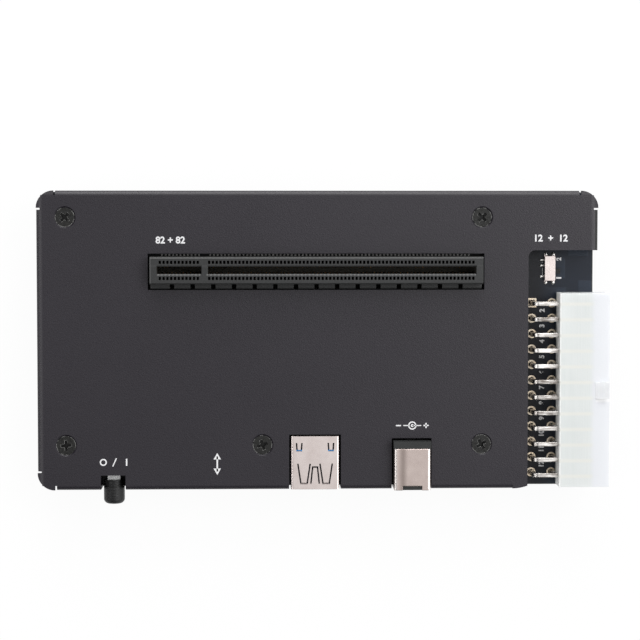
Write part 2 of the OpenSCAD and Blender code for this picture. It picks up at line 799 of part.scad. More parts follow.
// A block that closes the shell at the back, with a pocket under each catch, and a tongue
module usb_a_insulator() color([0.2, 0.45, 0.72]) on_board() {
    difference() {
        translate([port_a_x, port_a_block_y + port_a_block_l,
                (port_a_inner_low + port_a_inner_high) / 2])
            rotate([90, 0, 0]) linear_extrude(port_a_block_l)
                rounded_section(port_a_inner_w, port_a_inner_high - port_a_inner_low,
                    port_a_edge - port_sheet);
        for (s = [-1, 1])
            box_between(
                [port_a_x + s * catch_x - catch_w / 2 - port_slit,
                    front_y + catch_root - catch_l + port_slit / 2,
                    port_a_inner_high - port_a_pocket_d],
                [port_a_x + s * catch_x + catch_w / 2 + port_slit,
                    front_y + catch_root + port_slit / 2, port_a_inner_high + cut]);
    }
    box_between(
        [port_a_x - port_a_tongue_w / 2, front_y + port_a_tongue_in,
            port_a_tongue_high - port_a_tongue_t],
        [port_a_x + port_a_tongue_w / 2, port_a_block_y + cut, port_a_tongue_high]);
}

module usb_a_contacts() color([0.83, 0.7, 0.42]) on_board()
    for (k = [0 : port_a_strips - 1])
        translate([port_a_x + port_a_strip_pitch * (k - (port_a_strips - 1) / 2), 0,
            port_a_tongue_high - port_a_tongue_t - port_sheet])
            box_between([-port_a_strip_w / 2, front_y + 2 * port_a_tongue_in, 0],
                [port_a_strip_w / 2, port_a_block_y, port_sheet]);

// Small port

module usb_c_shell() color([0.8, 0.79, 0.77]) on_board()
    translate([port_c_x, front_y + port_c_l, port_c_h / 2]) rotate([90, 0, 0]) difference() {
        linear_extrude(port_c_l) port_c_outline(0);
        translate([0, 0, port_sheet]) linear_extrude(port_c_l) port_c_outline(-port_sheet);
    }

module usb_c_tongue() color([0.12, 0.12, 0.13]) on_board()
    translate([port_c_x, front_y + port_c_l - port_sheet - fit_gap, port_c_h / 2])
        rotate([90, 0, 0]) {
            linear_extrude(port_c_block_l) port_c_outline(-port_sheet - fit_gap);
            translate([-port_c_tongue_w / 2, -port_c_tongue_t / 2, 0])
                cube([port_c_tongue_w, port_c_tongue_t, port_c_l - port_c_tongue_in - port_sheet]);
        }

module usb_c_contacts() color([0.83, 0.7, 0.42]) on_board()
    for (k = [0 : port_c_strips - 1], s = [0, 1])
        translate([port_c_x + port_c_strip_pitch * (k - (port_c_strips - 1) / 2), 0, port_c_h / 2])
            mirror([0, 0, s]) box_between(
                [-port_c_strip_w / 2, front_y + 2 * port_c_tongue_in, port_c_tongue_t / 2],
                [port_c_strip_w / 2, front_y + port_c_l - 2 * port_sheet - port_c_block_l,
                    port_c_tongue_t / 2 + port_c_strip_t]);

// Power inlet

inlet_body_w = inlet_w - 2 * inlet_sheet - 2 * fit_gap;
inlet_body_top = inlet_h - inlet_sheet - fit_gap;
inlet_back_y = front_y + inlet_l;
function inlet_leg_places() = [
    [inlet_x, inlet_back_y - inlet_leg_w / 2],
    [inlet_x, front_y + inlet_bore_l / 2]
];

module dc_jack_body() color([0.1, 0.1, 0.1]) on_board() difference() {
    union() {
        translate([inlet_x, inlet_back_y - inlet_tail_l, inlet_body_top / 2]) rotate([90, 0, 0])
            linear_extrude(inlet_shield_l - fit_gap)
                rounded_section(inlet_body_w, inlet_body_top, inlet_sheet);
        box_between([inlet_x - inlet_tail_w / 2, inlet_back_y - inlet_tail_l, 0],
            [inlet_x + inlet_tail_w / 2, inlet_back_y, inlet_h]);
    }
    translate([inlet_x, front_y + inlet_bore_l, inlet_z]) rotate([90, 0, 0])
        cylinder(h = inlet_bore_l + cut, d = inlet_bore_d);
    translate([inlet_x, inlet_back_y + cut, inlet_z]) rotate([90, 0, 0])
        cylinder(h = inlet_l, d = inlet_pin_d + 2 * fit_gap);
    box_between([inlet_x - inlet_leg_w / 2 - fit_gap, inlet_back_y - inlet_leg_t - fit_gap, -cut],
        [inlet_x + inlet_leg_w / 2 + fit_gap, inlet_back_y + cut, inlet_z]);
    box_between([inlet_x - inlet_spring_w / 2 - fit_gap, front_y + inlet_bore_l / 3, -cut],
        [inlet_x + inlet_spring_w / 2 + fit_gap, front_y + inlet_bore_l, inlet_z]);
}

module dc_jack_shield() color([0.77, 0.72, 0.69]) on_board() difference() {
    translate([inlet_x, front_y + inlet_shield_l, 0]) rotate([90, 0, 0])
        linear_extrude(inlet_shield_l) difference() {
            translate([0, inlet_h / 2])
                rounded_section(inlet_w, inlet_h, 2 * inlet_sheet);
            translate([0, inlet_h / 2 - inlet_sheet])
                rounded_section(inlet_w - 2 * inlet_sheet, inlet_h, inlet_sheet);
            translate([-inlet_w / 2, 0]) square([inlet_w, 3 * inlet_sheet]);
        }
    box_between([inlet_x - inlet_notch_w / 2, front_y - cut, inlet_h - 2 * inlet_sheet],
        [inlet_x + inlet_notch_w / 2, front_y + inlet_notch_d, inlet_h + cut]);
}

module dc_jack_pin() color([0.8, 0.78, 0.72]) on_board() {
    tip = inlet_pin_d / 2;
    reach = inlet_l - 2 * tip;
    translate([inlet_x, inlet_back_y, inlet_z]) rotate([90, 0, 0]) rotate_extrude() {
        square([tip, reach]);
        translate([0, reach]) intersection() {
            circle(tip);
            square(tip);
        }
    }
    box_between([inlet_x - inlet_leg_w / 2, inlet_back_y - inlet_leg_t, -board_t - inlet_leg_t],
        [inlet_x + inlet_leg_w / 2, inlet_back_y, inlet_z]);
}

// Leaf that presses on the plug's sleeve from below, with its leg through the board
module dc_jack_spring() color([0.8, 0.78, 0.72]) on_board() {
    low = inlet_z - inlet_bore_d / 2;
    t = inlet_spring_t;
    y0 = front_y + inlet_bore_l / 3 + t;
    y1 = front_y + inlet_bore_l / 2 - t / 2;
    y2 = front_y + inlet_bore_l - t;
    translate([inlet_x - inlet_spring_w / 2, 0, 0]) rotate([90, 0, 90])
        linear_extrude(inlet_spring_w) {
            polygon([
                [y0, low - t], [y1, low + t], [y2, low - 2 * t],
                [y2, low - t], [y1, low + 2 * t], [y0, low]
            ]);
            translate([y1, -board_t - inlet_leg_t])
                square([t, low + t / 2 + board_t + inlet_leg_t + t / 2]);
        }
}

// Power switch

function switch_leg_places() = [
    for (r = [-1, 1], k = [-1, 0, 1])
        [button_x + r * switch_leg_row / 2,
            switch_front_y + switch_l / 2 + k * switch_leg_pitch]
];

module power_switch_body() color([0.09, 0.09, 0.1]) on_board() difference() {
    box_between([button_x - switch_w / 2, switch_front_y, fit_gap],
        [button_x + switch_w / 2, switch_front_y + switch_l, switch_h]);
    box_between([button_x - stem_w / 2 - slide_gap, switch_front_y - cut,
            button_z - stem_h / 2 - slide_gap],
        [button_x + stem_w / 2 + slide_gap, switch_front_y + stem_in + button_travel + slide_gap,
            button_z + stem_h / 2 + slide_gap]);
}

module power_switch_plunger() color([0.9, 0.9, 0.9]) on_board()
    box_between(
        [button_x - stem_w / 2, button_front_y + button_wall + stem_in / 2, button_z - stem_h / 2],
        [button_x + stem_w / 2, switch_front_y + stem_in, button_z + stem_h / 2]);

module power_switch_terminals() color([0.8, 0.79, 0.76]) on_board()
    for (p = switch_leg_places())
        block([p[0], p[1], -board_t - switch_leg_w], [switch_leg_t, switch_leg_w,
            board_t + switch_leg_w + fit_gap]);

// The cap is a turned form with a socket for the stem
module power_button_cap() color([0.1, 0.1, 0.11]) on_board() difference() {
    translate([button_x, button_front_y, button_z]) rotate([-90, 0, 0]) rotate_extrude() {
        r = button_d / 2;
        e = button_edge_r;
        square([r - e, button_l]);
        translate([0, e]) square([r - button_skirt_step, button_l - e]);
        translate([0, e]) square([r, button_l - e - button_skirt_l]);
        intersection() {
            translate([r - e, e]) circle(e);
            square([r, e]);
        }
    }
    box_between(
        [button_x - stem_w / 2, button_front_y + button_wall + stem_in / 2, button_z - stem_h / 2],
        [button_x + stem_w / 2, button_front_y + button_l + cut, button_z + stem_h / 2]);
}

// Selector switch

selector_rest_y = selector_y - knob_travel / 2;
selector_roof = selector_h - selector_sheet;

module slide_switch_base() color([0.1, 0.1, 0.1]) on_board() difference() {
    w = selector_w - 2 * selector_sheet;
    block([selector_x, selector_y, 0], [w, selector_l - 2 * selector_sheet, selector_roof]);
    box_between(
        [selector_x - selector_slide_w / 2 - slide_gap,
            selector_rest_y - selector_slide_l / 2 - slide_gap, selector_floor],
        [selector_x + selector_slide_w / 2 + slide_gap,
            selector_rest_y + knob_travel + selector_slide_l / 2 + slide_gap,
            selector_roof + cut]);
    selector_side_opening(selector_w);
}

// Opening that the knob travels in
module selector_side_opening(reach)
    box_between(
        [selector_x, selector_rest_y - knob_w / 2 - slide_gap, selector_floor],
        [selector_x + reach, selector_rest_y + knob_travel + knob_w / 2 + slide_gap,
            selector_floor + selector_slide_t + slide_gap]);

module slide_switch_shell() color([0.85, 0.83, 0.82]) on_board() {
    difference() {
        block([selector_x, selector_y, 2 * selector_sheet],
            [selector_w, selector_l, selector_h - 2 * selector_sheet]);
        block([selector_x, selector_y, 0],
            [selector_w - 2 * selector_sheet, selector_l - 2 * selector_sheet, selector_roof]);
        selector_side_opening(selector_w);
        for (sx = [-1, 1], sy = [-1, 1])
            block([selector_x + sx * selector_w / 2, selector_y + sy * selector_l / 2,
                    selector_h / 2],
                [2 * selector_corner, 2 * selector_sheet, selector_h]);
    }
    for (sx = [-1, 1], sy = [-1, 1]) {
        x = selector_x + sx * (selector_w - selector_tab_w) / 2;
        y = selector_y + sy * (selector_l - selector_sheet) / 2;
        block([x, y, 0], [selector_tab_w, selector_sheet, 2 * selector_sheet]);
        block([x, y + sy * selector_tab_l / 2, 0],
            [selector_tab_w, selector_tab_l, selector_sheet]);
    }
}

module slide_switch_knob() color([0.07, 0.07, 0.08]) on_board() {
    block([selector_x, selector_rest_y, selector_floor],
        [selector_slide_w, selector_slide_l, selector_slide_t]);
    box_between([selector_x, selector_rest_y - knob_w / 2, selector_floor],
        [selector_x + selector_w / 2 + knob_out, selector_rest_y + knob_w / 2,
            selector_floor + selector_slide_t]);
}

module slide_switch_pins() color([0.85, 0.84, 0.82]) on_board()
    for (share = selector_pin_shares)
        box_between(
            [selector_x - selector_w / 2 - selector_pin_l,
                selector_y + share * selector_l - selector_pin_w / 2, 0],
            [selector_x - selector_w / 2,
                selector_y + share * selector_l + selector_pin_w / 2, selector_pin_t]);

// Parts on the board, under the cover

chip_w = 10.7;
chip_h = 1.2;
rows_front = front_y + screw_front + standoff_w / 2;
rows_back = slot_y - slot_w / 2 - slot_ledge_w;
chip_at = [port_c_x, (rows_front + rows_back) / 2, 0];
pad_h = 0.5;
spreader_w = 20;
spreader_h = 4;
fin_w = 1.4;
fin_gap = 1.7;
fin_root = 1.2;
inductor_w = 7;
inductor_h = 3.6;
inductor_pitch = 9.5;
inductor_n = 4;
can_d = 6.3;
can_h = 5.6;
can_base_h = 1;
can_pitch = 8;
can_n = 4;
transistor_l = 6;
transistor_w = 5;
transistor_h = 1;
small_cap = [0.55, 1.05, 0.5];
small_cap_n = floor((slot_contacts_n - slot_key_n) / 2);
firmware_size = [5.3, 5.2, 1.7];
manager_size = [7, 7, 0.9];
crystal_size = [3.2, 2.5, 0.7];
fuse_size = [4.5, 3.2, 1.2];
inductor_x = (port_a_x + SCREW_PLACES[4][0] - (inductor_n - 1) * inductor_pitch) / 2;

// The supply's three rows share out the room between the inlet and the slot
rows_room = rows_back - inlet_back_y - inductor_w - transistor_l - can_d;
row_gap_shares = [0.36, 0.1, 0.1];
inductor_y = rows_back - row_gap_shares[0] * rows_room - inductor_w / 2;
transistor_y = inductor_y - row_gap_shares[1] * rows_room - (inductor_w + transistor_l) / 2;
can_y = transistor_y - row_gap_shares[2] * rows_room - (transistor_l + can_d) / 2;

module controller_chip() color([0.15, 0.16, 0.16]) on_board()
    block(chip_at, [chip_w, chip_w, chip_h]);

module thermal_pad() color([0.65, 0.66, 0.7]) on_board()
    block(chip_at + [0, 0, chip_h], [chip_w, chip_w, pad_h]);

// Finned block on the controller
module heat_spreader() color([0.6, 0.61, 0.63]) on_board()
    translate(chip_at + [0, 0, chip_h + pad_h]) difference() {
        block([0, 0, 0], [spreader_w, spreader_w, spreader_h]);
        for (k = [-2 : 2])
            block([k * (fin_w + fin_gap), 0, fin_root], [fin_gap, spreader_w + cut, spreader_h]);
    }

module power_inductors() color([0.3, 0.3, 0.31]) on_board()
    for (k = [0 : inductor_n - 1])
        translate([inductor_x + k * inductor_pitch, inductor_y, 0])
            linear_extrude(inductor_h) rounded_section(inductor_w, inductor_w, inductor_w / 8);

module bulk_capacitors() color([0.78, 0.78, 0.8]) on_board()
    for (k = [0 : can_n - 1])
        translate([inductor_x + k * can_pitch, can_y, 0]) {
            block([0, 0, 0], [can_d, can_d, can_base_h]);
            cylinder(h = can_h, d = can_d);
        }

module power_transistors() color([0.12, 0.12, 0.13]) on_board()
    for (k = [0 : inductor_n - 1])
        block([inductor_x + k * inductor_pitch, transistor_y, 0],
            [transistor_w, transistor_l, transistor_h]);

module coupling_capacitors() color([0.6, 0.5, 0.38]) on_board()
    for (k = [0 : small_cap_n - 1])
        block([slot_contact_x(slot_key_n + 2 * k), rows_back - 2 * small_cap[1], 0], small_cap);

module firmware_chip() color([0.12, 0.12, 0.13]) on_board()
    block(chip_at + [-spreader_w, manager_size[1], 0], firmware_size);

module power_controller_chip() color([0.12, 0.12, 0.13]) on_board()
    block(chip_at - [spreader_w, 0, 0], manager_size);

module clock_crystal() color([0.75, 0.74, 0.72]) on_board()
    block(chip_at - [spreader_w, manager_size[1], 0], crystal_size);

module input_fuse() color([0.75, 0.72, 0.6]) on_board()
    block([inlet_x + inlet_tail_w, inlet_back_y + fuse_size[1], 0], fuse_size);

cover();
bottom_tray();
rubber_feet();
cover_screws();
tray_screws();
upper_standoffs();
lower_standoffs();
circuit_board();
slot_housing();
slot_contacts();
header_housing();
header_pins();
usb_a_shell();
usb_a_insulator();
usb_a_contacts();
usb_c_shell();
usb_c_tongue();
usb_c_contacts();
dc_jack_body();
dc_jack_shield();
dc_jack_pin();
dc_jack_spring();
power_switch_body();
power_switch_plunger();
power_switch_terminals();
power_button_cap();
slide_switch_base();
slide_switch_shell();
slide_switch_knob();
slide_switch_pins();
controller_chip();
thermal_pad();
heat_spreader();
power_inductors();
bulk_capacitors();
power_transistors();
coupling_capacitors();
firmware_chip();
power_controller_chip();
clock_crystal();
input_fuse();
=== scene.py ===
# %% [markdown]
# # Looks for a flat expansion chassis
# The construction model is already packed, and this script dresses it. So all that is left is to
# light the object, give each part its finish, and add what is too fine for the solids: plated
# pads, printed marks and solder.

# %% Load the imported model
import math

import bmesh
import bpy
from mathutils import Matrix, Vector


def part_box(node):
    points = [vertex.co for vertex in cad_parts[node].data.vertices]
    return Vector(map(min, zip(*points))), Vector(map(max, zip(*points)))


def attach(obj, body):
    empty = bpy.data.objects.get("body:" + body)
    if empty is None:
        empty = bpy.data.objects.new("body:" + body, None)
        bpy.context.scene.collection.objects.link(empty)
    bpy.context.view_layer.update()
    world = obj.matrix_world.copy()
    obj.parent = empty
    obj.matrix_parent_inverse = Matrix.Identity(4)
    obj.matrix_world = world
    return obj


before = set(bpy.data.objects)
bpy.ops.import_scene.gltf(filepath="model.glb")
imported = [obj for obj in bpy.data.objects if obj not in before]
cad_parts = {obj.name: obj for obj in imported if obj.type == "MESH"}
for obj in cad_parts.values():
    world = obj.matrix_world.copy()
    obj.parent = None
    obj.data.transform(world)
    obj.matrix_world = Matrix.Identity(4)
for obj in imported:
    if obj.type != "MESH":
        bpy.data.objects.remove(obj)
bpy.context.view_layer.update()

# %% [markdown]
# ## Places
# The drawing of this chassis measures every place in millimetres from the middle of the case, on
# the upper face of the circuit board. The loaded solids already know where those are, so both
# are read from them, and `spot` turns a place on the drawing into a place in the scene.

# %% Places on the drawing
MM = 0.001
tray_low, tray_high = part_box("bottom_tray")
board_low, board_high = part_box("circuit_board")
cover_low, cover_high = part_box("cover")
CASE_MIDDLE = (tray_low + tray_high) / 2
BOARD_TOP = board_high.z
COVER_TOP = (cover_high.z - BOARD_TOP) / MM


def spot(x, y, z=0.0):
    return Vector((CASE_MIDDLE.x + x * MM, CASE_MIDDLE.y + y * MM, BOARD_TOP + z * MM))


print("board top at", round(BOARD_TOP / MM, 2), "mm, cover", round(COVER_TOP, 2), "mm above it")

# %% [markdown]
# ## Camera
# The photograph looks almost straight down from half a metre. The outline of the case, its
# screws and the two faces of the slot fix the camera: its height follows from how much the taller
# parts spread outwards, and its tilt from the point that they spread from. A real lens is a
# better choice than an orthographic camera, because that spread is visible on the tall header.

# %% Camera at the photograph's angle
CAMERA_PLACE = (-0.0170045, 0.0316837, 0.5096)
CAMERA_TURN = (-0.0490, -0.0324, -0.0001)
SENSOR = 36.0
LENS = 103.967
NEAREST, FARTHEST = 0.01, 20.0

camera_data = bpy.data.cameras.new("camera")
camera_data.sensor_width = SENSOR
camera_data.lens = LENS
camera_data.clip_start = NEAREST
camera_data.clip_end = FARTHEST
camera = bpy.data.objects.new("camera", camera_data)
camera.location = CAMERA_PLACE
camera.rotation_euler = CAMERA_TURN
bpy.context.scene.collection.objects.link(camera)
bpy.context.scene.camera = camera
print("camera", [round(v, 4) for v in camera.location])

# %% [markdown]
# ## Studio
# The photograph has a white ground and big soft lamps. A square panel hangs above, far to the
# back right, which makes the coated sheet lighter there. One low behind the case lights the back
# fold, and two narrow ones at its ends pick out the left and right flanges. The sum of lamps and
# world is kept at a level where a colour renders as it is written.

# %% Lamps
LAMPS = {
    "lamp_above": dict(place=(0.42, 0.24, 0.62), aim=(0.02, 0.02, 0.0), size=(0.4, 0.4),
                       radiance=4.4),
    "lamp_behind": dict(place=(0.0, 0.66, 0.38), aim=(0, 0, 0), size=(0.5, 0.5), radiance=5.0),
    "lamp_right": dict(place=(0.5, -0.1, 0.42), aim=(0, 0, 0), size=(0.12, 0.5), radiance=2.6),
    "lamp_left": dict(place=(-0.5, -0.05, 0.4), aim=(0, 0, 0), size=(0.12, 0.5), radiance=3.5)}


def panel(name, place, aim, size, radiance):
    """A rectangular lamp, in metres, whose surface has the given brightness."""
    lamp = bpy.data.lights.new(name, "AREA")
    lamp.shape = "RECTANGLE"
    lamp.size, lamp.size_y = size
    lamp.energy = radiance * math.pi * size[0] * size[1]
    item = bpy.data.objects.new(name, lamp)
    item.location = place
    item.rotation_euler = (Vector(aim) - Vector(place)).to_track_quat("-Z", "Y").to_euler()
    bpy.context.scene.collection.objects.link(item)
    print(name, "watts", round(lamp.energy, 3))


for lamp_name, numbers in LAMPS.items():
    panel(lamp_name, **numbers)

# %% [markdown]
# ## Shader nodes
# Every finish below is built from nodes, so these small helpers keep the cells short. `node_in`
# adds a node to a tree and fills its sockets: a value is written, and a socket of another node
# is linked. A socket is called by its name, or by its number after a low line, because the
# inputs of some nodes share one name. The others are the nodes that the finishes use most.

# %% Node helpers
def node_in(tree, kind, settings=None, **sockets):
    node = tree.nodes.new("ShaderNode" + kind)
    for key, value in (settings or {}).items():
        setattr(node, key, value)
    for key, value in sockets.items():
        socket = node.inputs[int(key[1:])] if key[0] == "_" else node.inputs[key.replace("_", " ")]
        if isinstance(value, bpy.types.NodeSocket):
            tree.links.new(value, socket)
        else:
            socket.default_value = value
    return node


def sums(tree, operation, a, b=0.0, c=0.0):
    return node_in(tree, "Math", {"operation": operation}, _0=a, _1=b, _2=c).outputs[0]


def product(tree, a, b):
    return sums(tree, "MULTIPLY", a, b)


def ramp(tree, value, from_low, from_high, to_low=0.0, to_high=1.0, smooth=False):
    settings = {"interpolation_type": "SMOOTHSTEP" if smooth else "LINEAR"}
    return node_in(tree, "MapRange", settings, Value=value, From_Min=from_low,
                   From_Max=from_high, To_Min=to_low, To_Max=to_high).outputs[0]


def blend(tree, share, colour_a, colour_b):
    """The first colour where the share is 0, and the second where it is 1."""
    def four(colour):
        return colour if isinstance(colour, bpy.types.NodeSocket) else (*colour, 1.0)
    mix = node_in(tree, "Mix", {"data_type": "RGBA"}, _0=share, _6=four(colour_a),
                  _7=four(colour_b))
    return mix.outputs[2]


def split_place(tree, place):
    """The x, y and z of a place, as three sockets."""
    return node_in(tree, "SeparateXYZ", Vector=place).outputs


def distance_from(tree, coordinate, middle):
    return sums(tree, "ABSOLUTE", sums(tree, "SUBTRACT", coordinate, middle))


# %% [markdown]
# ## Effects that several finishes share
# Four effects turn up again and again on an object like this, so each is one node group: a fine
# grain, drawn lines, a band along an edge, and a mask of the sharp edges. `new_group` makes a
# group with named inputs and outputs. A group gives only values that change over the surface,
# and each material still has its own shader.

# %% Group helper
NUMBER, PLACE = "NodeSocketFloat", "NodeSocketVector"


def new_group(name, inputs, outputs):
    tree = bpy.data.node_groups.new(name, "ShaderNodeTree")
    for label, kind, value in inputs:
        socket = tree.interface.new_socket(name=label, in_out="INPUT", socket_type=kind)
        if value is not None:
            socket.default_value = value
    for label in outputs:
        tree.interface.new_socket(name=label, in_out="OUTPUT", socket_type=NUMBER)
    print("group", name, "gives", ", ".join(outputs))
    return tree, tree.nodes.new("NodeGroupInput").outputs, tree.nodes.new("NodeGroupOutput").inputs


# %% [markdown]
# Coats and moulded plastic have a fine grain, and slow patches where the mould or the powder was
# thicker. Two noises give them, and a cell pattern makes the bumps round like grains of sand.
# Noise hardly ever reaches 0 or 1, so the part that it does reach is stretched to the full range.

# %% Grain group
NOISE_LOW, NOISE_HIGH = 0.3, 0.7
grain, g_in, g_out = new_group("fine_grain", [
    ("Place", PLACE, None), ("Grain Size", NUMBER, 0.4), ("Patch Size", NUMBER, 18.0)],
    ["Grain", "Patches", "Height"])
per_grain = sums(grain, "DIVIDE", 1.0 / MM, g_in["Grain Size"])
fine = node_in(grain, "TexNoise", Vector=g_in["Place"], Scale=per_grain, Detail=2.0,
               Roughness=0.6)
cells = node_in(grain, "TexVoronoi", Vector=g_in["Place"], Scale=per_grain, Randomness=1.0)
per_patch = sums(grain, "DIVIDE", 1.0 / MM, g_in["Patch Size"])
slow = node_in(grain, "TexNoise", Vector=g_in["Place"], Scale=per_patch, Detail=3.0,
               Roughness=0.55)
grain.links.new(ramp(grain, fine.outputs[0], NOISE_LOW, NOISE_HIGH), g_out["Grain"])
grain.links.new(ramp(grain, slow.outputs[0], NOISE_LOW, NOISE_HIGH), g_out["Patches"])
bumps = product(grain, cells.outputs["Distance"], 0.6)
grain.links.new(sums(grain, "ADD", bumps, fine.outputs[0]), g_out["Height"])

# %% [markdown]
# Rolled and drawn metal has fine lines along the way that it was pulled. The same noise gives
# them when its place is squeezed across the lines and stretched along them.

# %% Drawn lines group
drawn, d_in, d_out = new_group("drawn_lines", [
    ("Place", PLACE, None), ("Line Width", NUMBER, 0.06), ("Stretch", NUMBER, 40.0)],
    ["Lines", "Height"])
line_x, line_y, line_z = split_place(drawn, d_in["Place"])
per_line = sums(drawn, "DIVIDE", 1.0 / MM, d_in["Line Width"])
per_length = sums(drawn, "DIVIDE", per_line, d_in["Stretch"])
stretched = node_in(drawn, "CombineXYZ", X=product(drawn, line_x, per_line),
                    Y=product(drawn, line_y, per_length), Z=product(drawn, line_z, per_line))
pulled = node_in(drawn, "TexNoise", Vector=stretched.outputs[0], Scale=1.0, Detail=2.0,
                 Roughness=0.5)
drawn.links.new(ramp(drawn, pulled.outputs[0], NOISE_LOW, NOISE_HIGH), d_out["Lines"])
drawn.links.new(pulled.outputs[0], d_out["Height"])

# %% [markdown]
# A painted highlight or painted shade often lies along a fold or a rim, and so does a real line
# such as bare laminate. Its place is known from the drawing, so a soft band round one
# coordinate marks it.

# %% Edge band group
band, b_in, b_out = new_group("edge_band", [
    ("Coordinate", NUMBER, 0.0), ("Edge", NUMBER, 0.0), ("Width", NUMBER, 0.001)], ["Mask"])
widths = sums(band, "DIVIDE", distance_from(band, b_in["Coordinate"], b_in["Edge"]),
              b_in["Width"])
band.links.new(ramp(band, widths, 0.0, 1.0, 1.0, 0.0, smooth=True), b_out["Mask"])

# %% [markdown]
# Sharp edges that lie anywhere, as round a screw's recess, are found in another way: the Bevel
# node turns the normal only near an edge, so the mask is where it differs from the flat normal.
# The screws and the port shells use it to place painted glints and painted shade.

# %% Sharp edge group
BEVEL_SAMPLES = {"samples": 4}
TURNED, UNTURNED = 0.75, 0.98
worn_edge, w_in, w_out = new_group("worn_edge", [("Radius", NUMBER, 0.1)], ["Mask"])
rounded = node_in(worn_edge, "Bevel", BEVEL_SAMPLES, Radius=product(worn_edge, w_in["Radius"], MM))
flat = worn_edge.nodes.new("ShaderNodeNewGeometry").outputs["Normal"]
alike = node_in(worn_edge, "VectorMath", {"operation": "DOT_PRODUCT"}, _0=rounded.outputs[0],
                _1=flat).outputs["Value"]
worn_edge.links.new(ramp(worn_edge, alike, TURNED, UNTURNED, 1.0, 0.0), w_out["Mask"])

# %% [markdown]
# ## How a finish is made
# `new_finish` starts a material with its Principled shader and the place of each point on the
# object. Values that are the same all over are written on the shader itself, because a value
# that arrives by a link is lost on export. `complete` joins the rest: a colour, a roughness that
# follows one of the effects, and a shallow bump. Its depth is in millimetres, and an edge radius
# also catches the light on sharp edges.
#
# Two more helpers find a place on the object by its distance from a known edge, in millimetres.
# `line_mask` marks a soft line: a line is how far it lies from the edge, and how far it fades.
# `past` goes from 0 to 1 over a span of distances, or from 1 to 0 when it runs back.

# %% Finish helpers
def new_finish(name, **plain):
    material = bpy.data.materials.new(name)
    material.use_nodes = True
    tree = material.node_tree
    shader = tree.nodes["Principled BSDF"]
    for key, value in plain.items():
        shader.inputs[key.replace("_", " ")].default_value = value
    place = tree.nodes.new("ShaderNodeTexCoord").outputs["Object"]
    return material, tree, shader, place


def use_group(tree, group, **sockets):
    return node_in(tree, "Group", {"node_tree": group}, **sockets).outputs


def line_mask(tree, coordinate, edge, line):
    away, fade = line
    return use_group(tree, band, Coordinate=coordinate, Edge=edge + away * MM,
                     Width=fade * MM)["Mask"]


def past(tree, coordinate, edge, span, back=False, smooth=False):
    low, high = (1.0, 0.0) if back else (0.0, 1.0)
    return ramp(tree, coordinate, edge + span[0] * MM, edge + span[1] * MM, low, high, smooth)


def complete(tree, shader, colour, follow, rough, height, depth, edge=0.0):
    tree.links.new(colour, shader.inputs["Base Color"])
    tree.links.new(ramp(tree, follow, 0.0, 1.0, *rough), shader.inputs["Roughness"])
    bump = node_in(tree, "Bump", Height=height, Distance=depth * MM)
    if edge:
        soft = node_in(tree, "Bevel", BEVEL_SAMPLES, Radius=edge * MM)
        tree.links.new(soft.outputs[0], bump.inputs["Normal"])
    tree.links.new(bump.outputs[0], shader.inputs["Normal"])


def dress(material, *names):
    """Give the named parts of the model this finish."""
    for name in names:
        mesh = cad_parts[name].data
        mesh.materials.clear()
        mesh.materials.append(material)
    print(material.name, "on", ", ".join(names))


# %% [markdown]
# ## Two recipes
# Most parts need one of two recipes, each with two close colours. `grained` mixes them by the
# grain and the patches, for coats, plastic and ceramic. `rolled` mixes them by drawn lines and
# patches, for metal. Its spread says how much of that mix runs from one colour to the other: a
# smaller one gives clearer streaks.

# %% Recipes
PATCH_SHARE = 0.4


def grained(name, dark, light, rough, grain_size, depth, patch_size=18.0, **plain):
    material, tree, shader, place = new_finish(name, **plain)
    effect = use_group(tree, grain, Place=place, Grain_Size=grain_size, Patch_Size=patch_size)
    share = sums(tree, "MULTIPLY_ADD", effect["Patches"], PATCH_SHARE,
                 product(tree, effect["Grain"], 1.0 - PATCH_SHARE))
    complete(tree, shader, blend(tree, share, dark, light), share, rough, effect["Height"], depth)
    return material


def rolled(name, dark, light, rough, line_width, stretch, depth, turn=0.0, edge=0.0, spread=1.0):
    material, tree, shader, place = new_finish(name, Metallic=1.0)
    turned = node_in(tree, "Mapping", Vector=place, Rotation=(0.0, 0.0, turn)).outputs[0]
    lines = use_group(tree, drawn, Place=turned, Line_Width=line_width, Stretch=stretch)
    effect = use_group(tree, grain, Place=place, Grain_Size=0.25, Patch_Size=5.0)
    share = sums(tree, "MULTIPLY_ADD", effect["Patches"], 0.5, product(tree, lines["Lines"], 0.5))
    share = ramp(tree, share, 0.5 - spread / 2, 0.5 + spread / 2)
    complete(tree, shader, blend(tree, share, dark, light), share, rough, lines["Height"], depth,
             edge)
    return material


# %% [markdown]
# ## Powder coat
# Cover and tray are folded steel with a fine black powder coat. The powder melts into a skin
# with a sand-like grain of about a third of a millimetre, softly shiny, so that it takes on the
# light of the lamp above. The cover's folds at the left, right and back carry a painted
# highlight, each along a line a millimetre or so from the outline. Past the right one lies the
# turned-down lip, painted darkest as shade. It ends at the relief cut of the back corner.

# %% Powder coat
COAT_DARK = (0.0072, 0.0053, 0.0096)
COAT_LIGHT = (0.0132, 0.0107, 0.0162)
COAT_FOLD_HIGHLIGHT = (0.052, 0.049, 0.054)
COAT_LIP_SHADE = (0.0004, 0.0004, 0.0005)
COAT_PATCHES = 0.3
FOLD_LEFT, FOLD_RIGHT, FOLD_BACK = (1.1, 0.7), (-1.35, 0.8), (-0.6, 0.9)
FOLD_DEEP = 0.9
FOLD_HIGHLIGHT_SHARE = 0.6
LIP_SPAN = (-1.0, -0.8)
CORNER_LONG = 4.7

